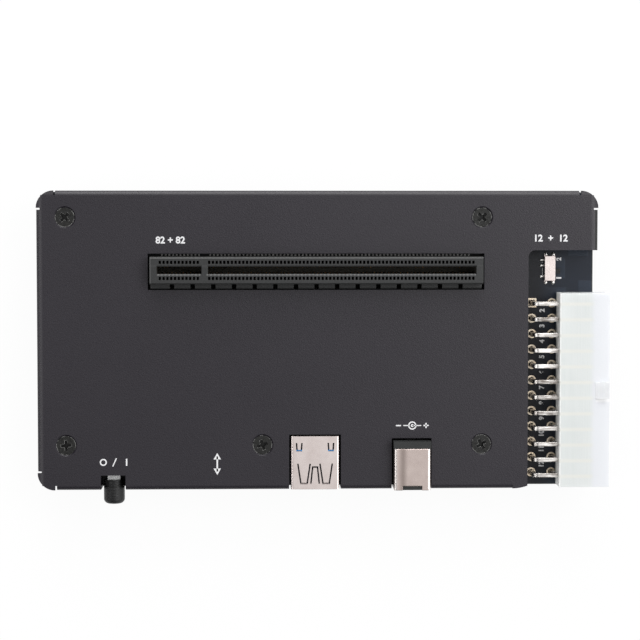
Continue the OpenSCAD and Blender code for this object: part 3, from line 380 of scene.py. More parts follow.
powder_coat, tree, shader, place = new_finish("powder_coat", Specular_IOR_Level=0.46)
texture = use_group(tree, grain, Place=place, Grain_Size=0.34, Patch_Size=30.0)
x, y, z = split_place(tree, place)
fold_highlight = 0.0
for coordinate, outline, fold in ((x, cover_low.x, FOLD_LEFT), (x, cover_high.x, FOLD_RIGHT),
                                  (y, cover_high.y, FOLD_BACK)):
    fold_highlight = sums(tree, "MAXIMUM", fold_highlight, line_mask(tree, coordinate, outline, fold))
upper = sums(tree, "GREATER_THAN", z, cover_high.z - FOLD_DEEP * MM)
share = sums(tree, "MULTIPLY_ADD", texture["Patches"], COAT_PATCHES,
             product(tree, texture["Grain"], 1.0 - COAT_PATCHES))
coat = blend(tree, share, COAT_DARK, COAT_LIGHT)
# Painted highlight along the left, right and back folds
coat = blend(tree, product(tree, product(tree, fold_highlight, upper), FOLD_HIGHLIGHT_SHARE), coat, COAT_FOLD_HIGHLIGHT)
# Painted shade on the turned-down right lip, up to the back corner
before_corner = sums(tree, "LESS_THAN", y, cover_high.y - CORNER_LONG * MM)
right_lip_shade = product(tree, past(tree, x, cover_high.x, LIP_SPAN), upper)
right_lip_shade = product(tree, right_lip_shade, before_corner)
complete(tree, shader, blend(tree, right_lip_shade, coat, COAT_LIP_SHADE), share, rough=(0.4, 0.52),
         height=texture["Height"], depth=0.03)
dress(powder_coat, "cover", "bottom_tray")

# %% [markdown]
# ## Screws, standoffs and feet
# The screws are blackened steel with a little oil in them, darker and glossier than the coat
# around. Their edges carry painted glints and painted shade in patches, and the recess and the
# shank, away from the outer face, are painted black as shade. The sharp edge group finds the
# edges, and the height tells face from recess. The standoffs are plated brass, and the feet are
# plain rubber with a dusty bloom.

# %% Screws
STEEL_RECESS_SHADE = (0.0005, 0.0005, 0.0005)
STEEL_DARK, STEEL_LIGHT = (0.004, 0.004, 0.0038), (0.020, 0.020, 0.019)
EDGE_SHADE, EDGE_GLINT = (0.001, 0.001, 0.001), (0.30, 0.30, 0.29)
FACE_SPAN = (-0.75, -0.4)
GLINT_PATCHES = (0.4, 0.6)

black_steel, tree, shader, place = new_finish("black_steel", Specular_IOR_Level=0.3)
texture = use_group(tree, grain, Place=place, Grain_Size=0.45, Patch_Size=1.0)
glinting = ramp(tree, texture["Patches"], *GLINT_PATCHES)
sharp = use_group(tree, worn_edge, Radius=0.22)["Mask"]
case_middle, case_half = (cover_high.z + tray_low.z) / 2, (cover_high.z - tray_low.z) / 2
from_middle = distance_from(tree, split_place(tree, place)[2], case_middle)
face = past(tree, from_middle, case_half, FACE_SPAN)
head_colour = blend(tree, texture["Grain"], STEEL_DARK, STEEL_LIGHT)
# Painted glints and painted shade in patches along the sharp edges
head_colour = blend(tree, sharp, head_colour, blend(tree, glinting, EDGE_SHADE, EDGE_GLINT))
# The recess and the shank are painted black as shade
complete(tree, shader, blend(tree, face, STEEL_RECESS_SHADE, head_colour), texture["Patches"],
         rough=(0.2, 0.42), height=texture["Height"], depth=0.02, edge=0.08)
dress(black_steel, "cover_screws", "tray_screws")

# %% Standoffs and feet
plated_brass = rolled("plated_brass", dark=(0.60, 0.54, 0.42), light=(0.74, 0.69, 0.57),
                      rough=(0.24, 0.36), line_width=0.05, stretch=12.0, depth=0.002)
foot_rubber = grained("foot_rubber", dark=(0.010, 0.010, 0.010), light=(0.030, 0.030, 0.029),
                      rough=(0.65, 0.85), grain_size=0.25, depth=0.02, patch_size=4.0)
dress(plated_brass, "upper_standoffs", "lower_standoffs")
dress(foot_rubber, "rubber_feet")

# %% [markdown]
# ## Circuit board
# The board is glass laminate under a blue-black lacquer. Copper areas below the lacquer lie a
# hair higher and look a little lighter, and the lacquer stops just short of the board's edge,
# where the bare laminate shows as a thin line. The copper is drawn by square cells about six
# millimetres wide, and the edge line by the distance to the outline. Towards the left the
# lacquer is painted darker and greyer as shade, and towards the right it keeps its bluer colour.

# %% Board lacquer
MASK_DARK = (0.0125, 0.0165, 0.0260)
MASK_LIGHT = (0.0205, 0.0280, 0.0425)
MASK_SHADE = (0.0100, 0.0107, 0.0142)
LAMINATE = (0.060, 0.062, 0.058)
LAMINATE_LINE, LAMINATE_SHARE = (0.0, 0.35), 0.35
SHADE_FADE_SPAN = (-16.0, -8.0)
COPPER_WIDE = 6.25
COPPER_RIM = (0.42, 0.46)

board_finish, tree, shader, place = new_finish("board_lacquer", Specular_IOR_Level=0.24)
copper = node_in(tree, "TexVoronoi", {"distance": "CHEBYCHEV"}, Vector=place,
                 Scale=1.0 / (COPPER_WIDE * MM), Randomness=0.8).outputs["Distance"]
bare = ramp(tree, copper, *COPPER_RIM)
texture = use_group(tree, grain, Place=place, Grain_Size=0.3, Patch_Size=25.0)
x, y, z = split_place(tree, place)
# Painted shade: the lacquer turns darker and greyer towards the left
out_of_shade = past(tree, x, board_high.x, SHADE_FADE_SPAN, smooth=True)
lacquer = blend(tree, out_of_shade, MASK_SHADE, blend(tree, bare, MASK_LIGHT, MASK_DARK))
rim = sums(tree, "MAXIMUM", line_mask(tree, x, board_high.x, LAMINATE_LINE),
           line_mask(tree, y, board_low.y, LAMINATE_LINE))
rim = sums(tree, "GREATER_THAN", rim, LAMINATE_SHARE)
complete(tree, shader, blend(tree, rim, lacquer, LAMINATE), texture["Patches"],
         rough=(0.26, 0.4), height=sums(tree, "SUBTRACT", 1.0, bare), depth=0.012)
dress(board_finish, "circuit_board")

# %% [markdown]
# ## Card slot
# The slot is glass-filled plastic: nearly black, matt, with a fine even grain. Seen from above,
# painted highlights run as light lines along its back edge, its left end and beside the groove,
# and everything below the ledge is painted black as shade. In front of the groove the painted
# highlight is broken into dots, one between each two contacts. So places along the row are
# counted first: `step` is 0 at the first contact and grows by one with each. There are no dots
# at the key, which takes the place of two contacts, nor past the ends of the row.

# %% Steps along the slot
CONTACT_HALF = 0.225
KEY_STEP = 11.5
KEY_CLEAR, END_CLEAR = 0.8, 0.7
DOT_FROM, DOT_TO, DOT_LEAST = 0.15, 0.35, 0.35
slot_low, slot_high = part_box("slot_housing")
contacts_low, contacts_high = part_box("slot_contacts")
slot_steps = (contacts_high.x - contacts_low.x) / MM - 2 * CONTACT_HALF

slot_plastic, tree, shader, place = new_finish("slot_plastic", Specular_IOR_Level=0.36)
x, y, z = split_place(tree, place)
from_first = sums(tree, "SUBTRACT", x, contacts_low.x + CONTACT_HALF * MM)
step = sums(tree, "DIVIDE", from_first, MM)
from_contact = distance_from(tree, step, sums(tree, "ROUND", step))
dots = ramp(tree, from_contact, DOT_FROM, DOT_TO, DOT_LEAST, 1.0)
off_key = sums(tree, "GREATER_THAN", distance_from(tree, step, KEY_STEP), KEY_CLEAR)
in_row = sums(tree, "LESS_THAN", distance_from(tree, step, slot_steps / 2),
              slot_steps / 2 + END_CLEAR)
dots = product(tree, product(tree, dots, off_key), in_row)
print("steps between the first and the last contact", round(slot_steps, 2))

# %% [markdown]
# With the dots in hand the plastic is put together from its middle line outwards. Each painted
# highlight has a place, a width and a strength, and lies only on the top face. The back rim and
# everything below the ledge are painted black as shade, and the inside of the groove is painted
# a warmer grey, as light thrown back from the gold beside it.

# %% Slot plastic
SLOT_DARK = (0.0155, 0.0160, 0.0163)
SLOT_LIGHT = (0.0320, 0.0330, 0.0336)
SLOT_HIGHLIGHT = (0.115, 0.116, 0.116)
SLOT_GROOVE_BOUNCE = (0.050, 0.047, 0.040)
SLOT_SHADE = (0.001, 0.001, 0.001)
SLOT_MIDDLE = slot_high.y - 3.65 * MM
BACK_LINE, END_LINE = (-0.38, 0.24), (0.1, 0.25)
DOT_LINE, GROOVE_LINE = (-1.15, 0.4), (1.2, 0.25)
FACE_DEEP, RIM_WIDE = 0.45, 0.22
LEDGE_SPAN = (5.8, 7.0)
GROOVE_HALF, GROOVE_DEEP = 0.99, 0.6

# Painted highlights: lines along the edges, and dots in front of the groove
highlight = 0.0
for coordinate, edge, line, strength in ((y, slot_high.y, BACK_LINE, 1.0),
                                         (y, SLOT_MIDDLE, DOT_LINE, dots),
                                         (y, SLOT_MIDDLE, GROOVE_LINE, 0.15),
                                         (x, slot_low.x, END_LINE, 0.6)):
    highlight_line = product(tree, line_mask(tree, coordinate, edge, line), strength)
    highlight = sums(tree, "MAXIMUM", highlight, highlight_line)
top_face = sums(tree, "GREATER_THAN", z, slot_high.z - FACE_DEEP * MM)
texture = use_group(tree, grain, Place=place, Grain_Size=0.16, Patch_Size=9.0)
plastic = blend(tree, texture["Grain"], SLOT_DARK, SLOT_LIGHT)
plastic = blend(tree, product(tree, highlight, top_face), plastic, SLOT_HIGHLIGHT)
# Painted shade along the back rim and below the ledge
back_rim_shade = sums(tree, "GREATER_THAN", y, slot_high.y - RIM_WIDE * MM)
plastic = blend(tree, back_rim_shade, plastic, SLOT_SHADE)
deep = past(tree, z, BOARD_TOP, LEDGE_SPAN, back=True)
plastic = blend(tree, deep, plastic, SLOT_SHADE)
# Painted light thrown back from the gold into the groove
from_line = distance_from(tree, y, SLOT_MIDDLE)
groove = product(tree, sums(tree, "LESS_THAN", from_line, GROOVE_HALF * MM),
                 sums(tree, "LESS_THAN", z, slot_high.z - GROOVE_DEEP * MM))
complete(tree, shader, blend(tree, groove, plastic, SLOT_GROOVE_BOUNCE), deep, rough=(0.42, 0.9),
         height=texture["Height"], depth=0.008, edge=0.1)
dress(slot_plastic, "slot_housing")

# %% [markdown]
# ## Contacts
# Contacts are spring bronze with a gold flash where something touches them. In the slot only the
# part near the groove has gold, and the tails, which are farther from the middle line, are dull
# tin. The small contacts of the data ports are gold all over.

# %% Contacts
TAIL_FROM = 2.9
FLASH_DARK, FLASH_LIGHT = (0.72, 0.48, 0.20), (0.92, 0.68, 0.34)
TAIL_DARK, TAIL_LIGHT = (0.12, 0.12, 0.12), (0.42, 0.41, 0.40)
slot_gold, tree, shader, place = new_finish("slot_contact_gold", Metallic=1.0)
from_line = distance_from(tree, split_place(tree, place)[1], SLOT_MIDDLE)
tail = sums(tree, "GREATER_THAN", from_line, TAIL_FROM * MM)
lines = use_group(tree, drawn, Place=place, Line_Width=0.05, Stretch=8.0)
flash = blend(tree, lines["Lines"], FLASH_DARK, FLASH_LIGHT)
dull = blend(tree, lines["Lines"], TAIL_DARK, TAIL_LIGHT)
complete(tree, shader, blend(tree, tail, flash, dull), lines["Lines"], rough=(0.25, 0.4),
         height=lines["Height"], depth=0.001)
port_gold = rolled("contact_gold", dark=(0.72, 0.49, 0.20), light=(0.90, 0.68, 0.34),
                   rough=(0.18, 0.3), line_width=0.05, stretch=8.0, depth=0.001)
dress(slot_gold, "slot_contacts")
dress(port_gold, "usb_a_contacts", "usb_c_contacts")

# %% [markdown]
# ## Power header
# The housing is natural nylon: milky, so light goes in, scatters between the walls of the
# twenty-four cells and comes out again. Subsurface scattering gives that glow. The light and
# shade of the cells through the roof are painted as faint bars, one for each pin, as far as the
# board reaches below. The bars follow the place along the row, as the dots of the slot do.

# %% Rows of the header
HEADER_ROWS = 12
HEADER_PITCH = 4.2
HEADER_MIDDLE = -13.35
BOARD_SPAN = (-2.6, -0.6)
BAR_FADE = (0.02, 0.19)
header_low, header_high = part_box("header_housing")
header_centre = (header_low.y + header_high.y) / 2
first_pin = ((header_high.y - header_low.y) / MM / HEADER_PITCH - (HEADER_ROWS - 1)) / 2

nylon, tree, shader, place = new_finish(
    "milky_nylon", Subsurface_Weight=0.55, Subsurface_Radius=(1.0, 1.0, 1.0),
    Subsurface_Scale=0.0022, IOR=1.53, Specular_IOR_Level=0.4)
x, y, z = split_place(tree, place)
from_end = sums(tree, "SUBTRACT", y, header_low.y)
rows_on = sums(tree, "DIVIDE", from_end, HEADER_PITCH * MM)
phase = sums(tree, "FRACT", sums(tree, "SUBTRACT", rows_on, first_pin - 0.5))
# Painted light and shade of the cells, seen through the roof
cell_shading = ramp(tree, distance_from(tree, phase, 0.5), *BAR_FADE, 1.0, 0.0, smooth=True)
over_board = past(tree, x, board_high.x, BOARD_SPAN, back=True, smooth=True)
cell_shading = product(tree, cell_shading, over_board)
print("first pin", round(first_pin, 3), "rows from the header's end")

# %% [markdown]
# A moulding is never one even white. Over the board it is painted a little greyer, as shade from
# the board below, past the board's edge bluer, as painted light that comes through, and its inner
# wall is painted the lightest, as light that reaches it. The catch for the plug stands higher than
# the roof, so the lamps light its top and leave a shade at its slope and just in front of it. Real
# nylon evens that out from within, so here the top is painted a little darker as shade, and slope
# and shade are painted lighter as light.

# %% Header nylon
MILK_DARK, MILK_LIGHT = (0.62, 0.65, 0.64), (0.695, 0.715, 0.71)
MILK_LIT_THROUGH = (0.705, 0.72, 0.75)
MILK_CELL_SHADING = (0.70, 0.705, 0.67)
MILK_WALL_LIGHT = (0.90, 0.91, 0.89)
CATCH_TOP_SHADE, CATCH_SLOPE_LIGHT, CATCH_SHADE_FILL = (0.655, 0.665, 0.68), (0.82, 0.83, 0.85), (0.95, 0.95, 0.96)
CATCH_RISE, SLOPE_SPAN, WALL_SPAN = (-0.88, -0.8), (-3.1, -2.9), (0.1, 0.4)
SHADE_LINE, SHADE_SPAN = (-2.6, 0.9), (-3.9, -3.4)

streaks = use_group(tree, drawn, Place=place, Line_Width=0.35, Stretch=60.0)
texture = use_group(tree, grain, Place=place, Grain_Size=0.5, Patch_Size=12.0)
cloud = sums(tree, "MULTIPLY_ADD", streaks["Lines"], 0.4, product(tree, texture["Patches"], 0.6))
# Painted shade over the board, painted light past its edge
milk = blend(tree, over_board, MILK_LIT_THROUGH, blend(tree, cloud, MILK_DARK, MILK_LIGHT))
# Painted shade on the catch's top, painted light on its slope and in its shade
slope = past(tree, x, header_high.x, SLOPE_SPAN, back=True)
catch_shading = blend(tree, slope, CATCH_TOP_SHADE, CATCH_SLOPE_LIGHT)
milk = blend(tree, past(tree, z, header_high.z, CATCH_RISE), milk, catch_shading)
shaded = product(tree, line_mask(tree, y, header_centre, SHADE_LINE),
                 past(tree, x, header_high.x, SHADE_SPAN))
milk = blend(tree, shaded, milk, CATCH_SHADE_FILL)
# Painted light on the inner wall
milk = blend(tree, past(tree, x, header_low.x, WALL_SPAN, back=True), milk, MILK_WALL_LIGHT)
complete(tree, shader, blend(tree, cell_shading, milk, MILK_CELL_SHADING), texture["Grain"], rough=(0.3, 0.42),
         height=texture["Height"], depth=0.01)
dress(nylon, "header_housing")

# %% [markdown]
# ## Tin and nickel
# Pins and legs are tinned: soft grey-white, with clear streaks from drawing, so their spread is
# small. The data ports and the selector have stamped shells of nickel-plated steel with a warm
# cast, smooth enough to mirror the white studio. A punch cuts the spring tongues in a roof, and
# the edges of those cuts are painted dark as shade. The sharp edge group finds them, and the
# distance from the middle keeps it off the shell's own long edges.

# %% Tin
tin = rolled("tinned_metal", dark=(0.24, 0.21, 0.19), light=(0.95, 0.92, 0.89), rough=(0.2, 0.36),
             line_width=0.26, stretch=10.0, depth=0.015, turn=math.pi / 2, edge=0.25, spread=0.6)
dress(tin, "header_pins", "dc_jack_pin", "dc_jack_spring", "power_switch_terminals",
      "slide_switch_pins")

# %% Port nickel
NICKEL_DARK, NICKEL_LIGHT = (0.70, 0.615, 0.59), (0.79, 0.71, 0.685)
NICKEL_CUT_SHADE = (0.06, 0.055, 0.055)
ROOF_SPAN = (-1.1, -1.0)
port_low, port_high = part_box("usb_a_shell")
port_middle, port_half = (port_low.x + port_high.x) / 2, (port_high.x - port_low.x) / 2

nickel, tree, shader, place = new_finish("port_nickel", Metallic=1.0)
texture = use_group(tree, grain, Place=place, Grain_Size=0.2, Patch_Size=3.0)
lines = use_group(tree, drawn, Place=place, Line_Width=0.05, Stretch=30.0)
from_port = distance_from(tree, split_place(tree, place)[0], port_middle)
on_roof = past(tree, from_port, port_half, ROOF_SPAN, back=True)
# Painted shade along the edges of the cuts in the roof
cut_shade = product(tree, use_group(tree, worn_edge, Radius=0.14)["Mask"], on_roof)
metal = blend(tree, texture["Patches"], NICKEL_DARK, NICKEL_LIGHT)
complete(tree, shader, blend(tree, cut_shade, metal, NICKEL_CUT_SHADE), lines["Lines"],
         rough=(0.24, 0.34), height=lines["Height"], depth=0.0015)
dress(nickel, "usb_a_shell", "usb_c_shell", "slide_switch_shell")

# %% [markdown]
# The power inlet's shield is bent round the body. It is darker than the ports, with painted shade
# along a soft line near its left side and painted highlights on its two long rims.

# %% Inlet nickel
SHIELD_DARK, SHIELD_LIGHT = (0.52, 0.435, 0.405), (0.60, 0.51, 0.475)
SHIELD_SHADE, SHIELD_HIGHLIGHT = (0.27, 0.22, 0.20), (0.90, 0.84, 0.81)
SHADE_SHARE = 0.75
SHIELD_LINE, LEFT_RIM, RIGHT_RIM = (2.3, 1.5), (0.4, 0.5), (-0.4, 0.5)
shield_low, shield_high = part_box("dc_jack_shield")

warm_nickel, tree, shader, place = new_finish("inlet_nickel", Metallic=1.0)
texture = use_group(tree, grain, Place=place, Grain_Size=0.2, Patch_Size=3.0)
x, y, z = split_place(tree, place)
# Painted shade near the left side, painted highlights on the long rims
left_shade = product(tree, line_mask(tree, x, shield_low.x, SHIELD_LINE), SHADE_SHARE)
rim_highlights = sums(tree, "MAXIMUM", line_mask(tree, x, shield_low.x, LEFT_RIM),
            line_mask(tree, x, shield_high.x, RIGHT_RIM))
metal = blend(tree, texture["Patches"], SHIELD_DARK, SHIELD_LIGHT)
metal = blend(tree, left_shade, metal, SHIELD_SHADE)
complete(tree, shader, blend(tree, rim_highlights, metal, SHIELD_HIGHLIGHT), texture["Grain"],
         rough=(0.24, 0.34), height=texture["Height"], depth=0.002, edge=0.3)
dress(warm_nickel, "dc_jack_shield")

# %% [markdown]
# ## Moulded plastics
# The data port's insulator is blue, but it only glints through the cuts of its shell: faces that
# look up from deep inside are painted nearly black as shade. The normal and the height tell which
# those are.

# %% Port blue
BLUE_DARK, BLUE_LIGHT, BLUE_SHADE = (0.035, 0.17, 0.42), (0.06, 0.25, 0.55), (0.002, 0.004, 0.01)
INSULATOR_DEEP, LOOKS_UP = 0.5, 0.5
port_blue, tree, shader, place = new_finish("port_blue", Specular_IOR_Level=0.4)
texture = use_group(tree, grain, Place=place, Grain_Size=0.2, Patch_Size=3.0)
facing = tree.nodes.new("ShaderNodeTexCoord").outputs["Normal"]
upward = sums(tree, "GREATER_THAN", split_place(tree, facing)[2], LOOKS_UP)
inside = sums(tree, "LESS_THAN", split_place(tree, place)[2],
              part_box("usb_a_insulator")[1].z - INSULATOR_DEEP * MM)
blue = blend(tree, texture["Patches"], BLUE_DARK, BLUE_LIGHT)
# Painted shade on the faces that look up from deep inside
complete(tree, shader, blend(tree, product(tree, upward, inside), blue, BLUE_SHADE),
         texture["Grain"], rough=(0.4, 0.55), height=texture["Height"], depth=0.006)
dress(port_blue, "usb_a_insulator")

# %% [markdown]
# The button's cap is satin black, turned in fine rings round its length, with one groove near
# its back that is painted dark as shade. A Mapping node turns the drawn lines so that they run
# round it. The switch's stem is milk-white and glossy, and the bodies of inlet and switches are a
# greyer black.

# %% Button and bodies
CAP_DARK, CAP_LIGHT = (0.0020, 0.0020, 0.0022), (0.0140, 0.0140, 0.0150)
CAP_GROOVE_SHADE = (0.0005, 0.0005, 0.0005)
CAP_GROOVE = (-1.7, 0.3)
cap_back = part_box("power_button_cap")[1].y
cap_black, tree, shader, place = new_finish("cap_black", Specular_IOR_Level=0.34)
turned = node_in(tree, "Mapping", Vector=place, Rotation=(0.0, 0.0, math.pi / 2)).outputs[0]
rings = use_group(tree, drawn, Place=turned, Line_Width=0.22, Stretch=80.0)
# Painted shade along the groove near the cap's back
groove_shade = line_mask(tree, split_place(tree, place)[1], cap_back, CAP_GROOVE)
satin = blend(tree, rings["Lines"], CAP_DARK, CAP_LIGHT)
complete(tree, shader, blend(tree, groove_shade, satin, CAP_GROOVE_SHADE), rings["Lines"],
         rough=(0.34, 0.46), height=rings["Height"], depth=0.09, edge=0.1)
stem_white = grained("stem_white", dark=(0.90, 0.91, 0.91), light=(0.96, 0.96, 0.95),
                     rough=(0.25, 0.35), grain_size=0.3, depth=0.01, Specular_IOR_Level=0.9)
inlet_black = grained("inlet_black", dark=(0.017, 0.018, 0.018), light=(0.032, 0.033, 0.033),
                      rough=(0.38, 0.55), grain_size=0.2, depth=0.012, patch_size=4.0,
                      Specular_IOR_Level=0.3)
dress(cap_black, "power_button_cap", "slide_switch_knob", "usb_c_tongue")
dress(stem_white, "power_switch_plunger")
dress(inlet_black, "dc_jack_body", "power_switch_body", "slide_switch_base")

# %% [markdown]
# ## Parts under the cover
# Most of these are hidden, but the case can be opened, so each has the finish of the real
# part: moulded chip packages, a soft grey pad, a finned aluminium block, pressed-powder coils,
# drawn cans and fired ceramics.

# %% Parts under the cover
chip_black = grained("chip_black", dark=(0.010, 0.010, 0.011), light=(0.024, 0.024, 0.025),
                     rough=(0.5, 0.65), grain_size=0.12, depth=0.01, patch_size=6.0)
pad_grey = grained("pad_grey", dark=(0.32, 0.34, 0.40), light=(0.42, 0.44, 0.50),
                   rough=(0.7, 0.85), grain_size=0.3, depth=0.03)
coil_grey = grained("coil_grey", dark=(0.055, 0.055, 0.058), light=(0.12, 0.12, 0.122),
                    rough=(0.55, 0.7), grain_size=0.18, depth=0.02)
ceramic = grained("fired_ceramic", dark=(0.30, 0.20, 0.11), light=(0.42, 0.30, 0.18),
                  rough=(0.45, 0.6), grain_size=0.1, depth=0.006)
spreader = rolled("spreader_aluminium", dark=(0.50, 0.51, 0.53), light=(0.64, 0.65, 0.67),
                  rough=(0.3, 0.45), line_width=0.1, stretch=25.0, depth=0.004)
can = rolled("can_aluminium", dark=(0.66, 0.66, 0.68), light=(0.80, 0.80, 0.82),
             rough=(0.2, 0.3), line_width=0.08, stretch=6.0, depth=0.003)
dress(chip_black, "controller_chip", "power_transistors", "firmware_chip",
      "power_controller_chip")
dress(pad_grey, "thermal_pad")
dress(coil_grey, "power_inductors")
dress(ceramic, "coupling_capacitors", "input_fuse")
dress(spreader, "heat_spreader")
dress(can, "bulk_capacitors", "clock_crystal")

# %% [markdown]
# ## New pieces
# `finish_piece` turns a bmesh into an object: it merges doubles, turns the faces outwards,
# names the material and makes the piece ride on a body of the model. Everything is built in
# place, so the object itself stays at the origin. Two shapes come back in many sizes, so each
# has a helper: a washer, spun from its section, and a block.

# %% Piece helpers
MERGE_WITHIN = 1e-7
RING_STEPS = 32


def finish_piece(name, form, material, body="chassis", smooth=False):
    bmesh.ops.remove_doubles(form, verts=form.verts, dist=MERGE_WITHIN)
    bmesh.ops.recalc_face_normals(form, faces=form.faces)
    mesh = bpy.data.meshes.new(name)
    form.to_mesh(mesh)
    form.free()
    for face in mesh.polygons:
        face.use_smooth = smooth
    mesh.materials.append(material)
    item = bpy.data.objects.new(name, mesh)
    bpy.context.scene.collection.objects.link(item)
    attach(item, body)
    print(name, "faces", len(mesh.polygons))


def add_ring(form, centre, inner, outer, height, steps=RING_STEPS, start=0.0):
    """A flat washer, in millimetres, that stands on the centre. Four steps make it square."""
    section = bmesh.ops.create_grid(form, x_segments=1, y_segments=1, size=0.5)["verts"]
    bmesh.ops.scale(form, vec=((outer - inner) * MM, height * MM, 1), verts=section)
    bmesh.ops.transform(form, matrix=Matrix.Rotation(math.pi / 2, 4, "X"), verts=section)
    middle = Vector(((inner + outer) / 2 * MM, 0, height / 2 * MM))
    bmesh.ops.translate(form, vec=centre + middle, verts=section)
    bmesh.ops.rotate(form, cent=centre, matrix=Matrix.Rotation(start, 3, "Z"), verts=section)
    faces = list({face for vert in section for face in vert.link_faces})
    bmesh.ops.spin(form, geom=faces, cent=centre, axis=(0, 0, 1), angle=2 * math.pi,
                   steps=steps, use_merge=True)
    bmesh.ops.delete(form, geom=[f for f in faces if f.is_valid], context="FACES_ONLY")


def add_block(form, centre, size, turn=0.0):
    """A block, in millimetres, that stands on the centre, turned about the upright axis."""
    cube = bmesh.ops.create_cube(form, size=1.0)["verts"]
    bmesh.ops.scale(form, vec=[length * MM for length in size], verts=cube)
    bmesh.ops.rotate(form, cent=(0, 0, 0), matrix=Matrix.Rotation(turn, 3, "Z"), verts=cube)
    bmesh.ops.translate(form, vec=centre + Vector((0, 0, size[2] * MM / 2)), verts=cube)


# %% [markdown]
# ## Plated pads
# Each header pin passes through a plated hole: a gold ring on the board and a thin gold barrel
# down the hole, painted brown and dark inside as shade. The first pad is square, which is how
# makers mark pin one. A square is a ring spun in four steps, from corner to corner.

# %% Pads round the pins
PAD_OUT, PAD_HOLE, PAD_HIGH = 1.24, 0.86, 0.04
BARREL_OUT, BARREL_IN, BARREL_STEPS = 0.845, 0.785, 24
BOARD_THICK = (board_high.z - board_low.z) / MM
PIN_COLUMNS = (63.75, 58.25)
CORNER = math.sqrt(2.0)


def row_place(row):
    """Where a row of the header is on the drawing, with row 0 at the back."""
    return HEADER_MIDDLE + HEADER_PITCH * ((HEADER_ROWS - 1) / 2 - row)


pads = bmesh.new()
for row in range(HEADER_ROWS):
    for column in PIN_COLUMNS:
        pad_spot = spot(column, row_place(row))
        if row == 0 and column == PIN_COLUMNS[-1]:
            add_ring(pads, pad_spot, PAD_HOLE * CORNER, PAD_OUT * CORNER, PAD_HIGH, steps=4,
                     start=math.pi / 4)
        else:
            add_ring(pads, pad_spot, PAD_HOLE, PAD_OUT, PAD_HIGH)
        add_ring(pads, spot(column, row_place(row), -BOARD_THICK), BARREL_IN, BARREL_OUT,
                 BOARD_THICK + PAD_HIGH, steps=BARREL_STEPS)
print("pads:", HEADER_ROWS * len(PIN_COLUMNS))

# %% Pad gold
GOLD_DARK, GOLD_LIGHT, GOLD_HOLE_SHADE = (0.93, 0.76, 0.56), (1.0, 0.90, 0.74), (0.12, 0.06, 0.025)
BARREL_SPAN = (-0.25, 0.0)
pad_gold, tree, shader, place = new_finish("pad_gold", Metallic=0.45)
texture = use_group(tree, grain, Place=place, Grain_Size=0.2, Patch_Size=2.0)
# Painted shade on the barrel inside the hole
in_hole = past(tree, split_place(tree, place)[2], BOARD_TOP, BARREL_SPAN, back=True)
ring_gold = blend(tree, texture["Patches"], GOLD_DARK, GOLD_LIGHT)
complete(tree, shader, blend(tree, in_hole, ring_gold, GOLD_HOLE_SHADE), texture["Grain"],
         rough=(0.25, 0.4), height=texture["Height"], depth=0.006)
finish_piece("header_pads", pads, pad_gold)

# %% [markdown]
# ## Printed marks
# The case carries only signs that anyone may use: how many contacts the slot and the header
# have in each of their rows, a ring, a stroke and a bar for off and on, a two-way arrow between
# the data ports, and the polarity sign at the round inlet. A screen print is a thin raised
# film, so each mark is a flat solid on the coat.

# %% Mark helpers
INK_HIGH = 0.03
DIGIT_HALF = 0.01
white_ink = grained("white_ink", dark=(0.66, 0.66, 0.67), light=(0.80, 0.80, 0.81),
                    rough=(0.5, 0.65), grain_size=0.3, depth=0.004, patch_size=2.0)


def add_number(form, words, centre, height, turn=0.0, bold=0.03):
    """Digits of the built-in font, made a mesh, scaled to a height and laid on a place."""
    curve = bpy.data.curves.new("digits", "FONT")
    curve.body = words
    curve.align_x = "CENTER"
    curve.extrude = DIGIT_HALF
    curve.offset = bold
    item = bpy.data.objects.new("digits", curve)
    bpy.context.scene.collection.objects.link(item)
    bpy.context.view_layer.update()
    mesh = bpy.data.meshes.new_from_object(item.evaluated_get(
        bpy.context.evaluated_depsgraph_get()))
    tall = max(v.co.y for v in mesh.vertices)
    old = set(form.verts)
    form.from_mesh(mesh)
    new = [v for v in form.verts if v not in old]
    bmesh.ops.translate(form, vec=(0, -tall / 2, DIGIT_HALF), verts=new)
    flat_scale, high_scale = height * MM / tall, INK_HIGH * MM / (2 * DIGIT_HALF)
    bmesh.ops.scale(form, vec=(flat_scale, flat_scale, high_scale), verts=new)
    bmesh.ops.rotate(form, cent=(0, 0, 0), matrix=Matrix.Rotation(turn, 3, "Z"), verts=new)
    bmesh.ops.translate(form, vec=centre, verts=new)
    bpy.data.objects.remove(item)
    bpy.data.curves.remove(curve)
    bpy.data.meshes.remove(mesh)


def add_stroke(form, start, end, z, wide):
    """A straight bar from one place on the drawing to another."""
    run = Vector(end) - Vector(start)
    middle = (Vector(start) + Vector(end)) / 2
    add_block(form, spot(middle.x, middle.y, z), (run.length, wide, INK_HIGH),
              math.atan2(run.y, run.x))


def add_arrow_tip(form, tip, turn, z, size):
    """A triangle that points along the turn, with its point at the tip."""
    made = bmesh.ops.create_cone(form, cap_ends=True, segments=3, radius1=size * MM,
                                 radius2=size * MM, depth=INK_HIGH * MM)["verts"]
    bmesh.ops.translate(form, vec=(0, 0, INK_HIGH * MM / 2), verts=made)
    corner = max(made, key=lambda v: v.co.length).co
    own = math.atan2(corner.y, corner.x)
    bmesh.ops.rotate(form, cent=(0, 0, 0), matrix=Matrix.Rotation(turn - own, 3, "Z"),
                     verts=made)
    back = Vector((math.cos(turn), math.sin(turn), 0)) * size * MM
    bmesh.ops.translate(form, vec=spot(*tip, z) - back, verts=made)


# %% [markdown]
# The marks themselves are three short lists. A ring has its middle, its inner and its outer
# radius. A stroke has its two ends and its width: first the stroke and the bar of the button's
# sign, then the arrow's shaft, then minus, lead, lead and the two strokes of plus at the inlet.

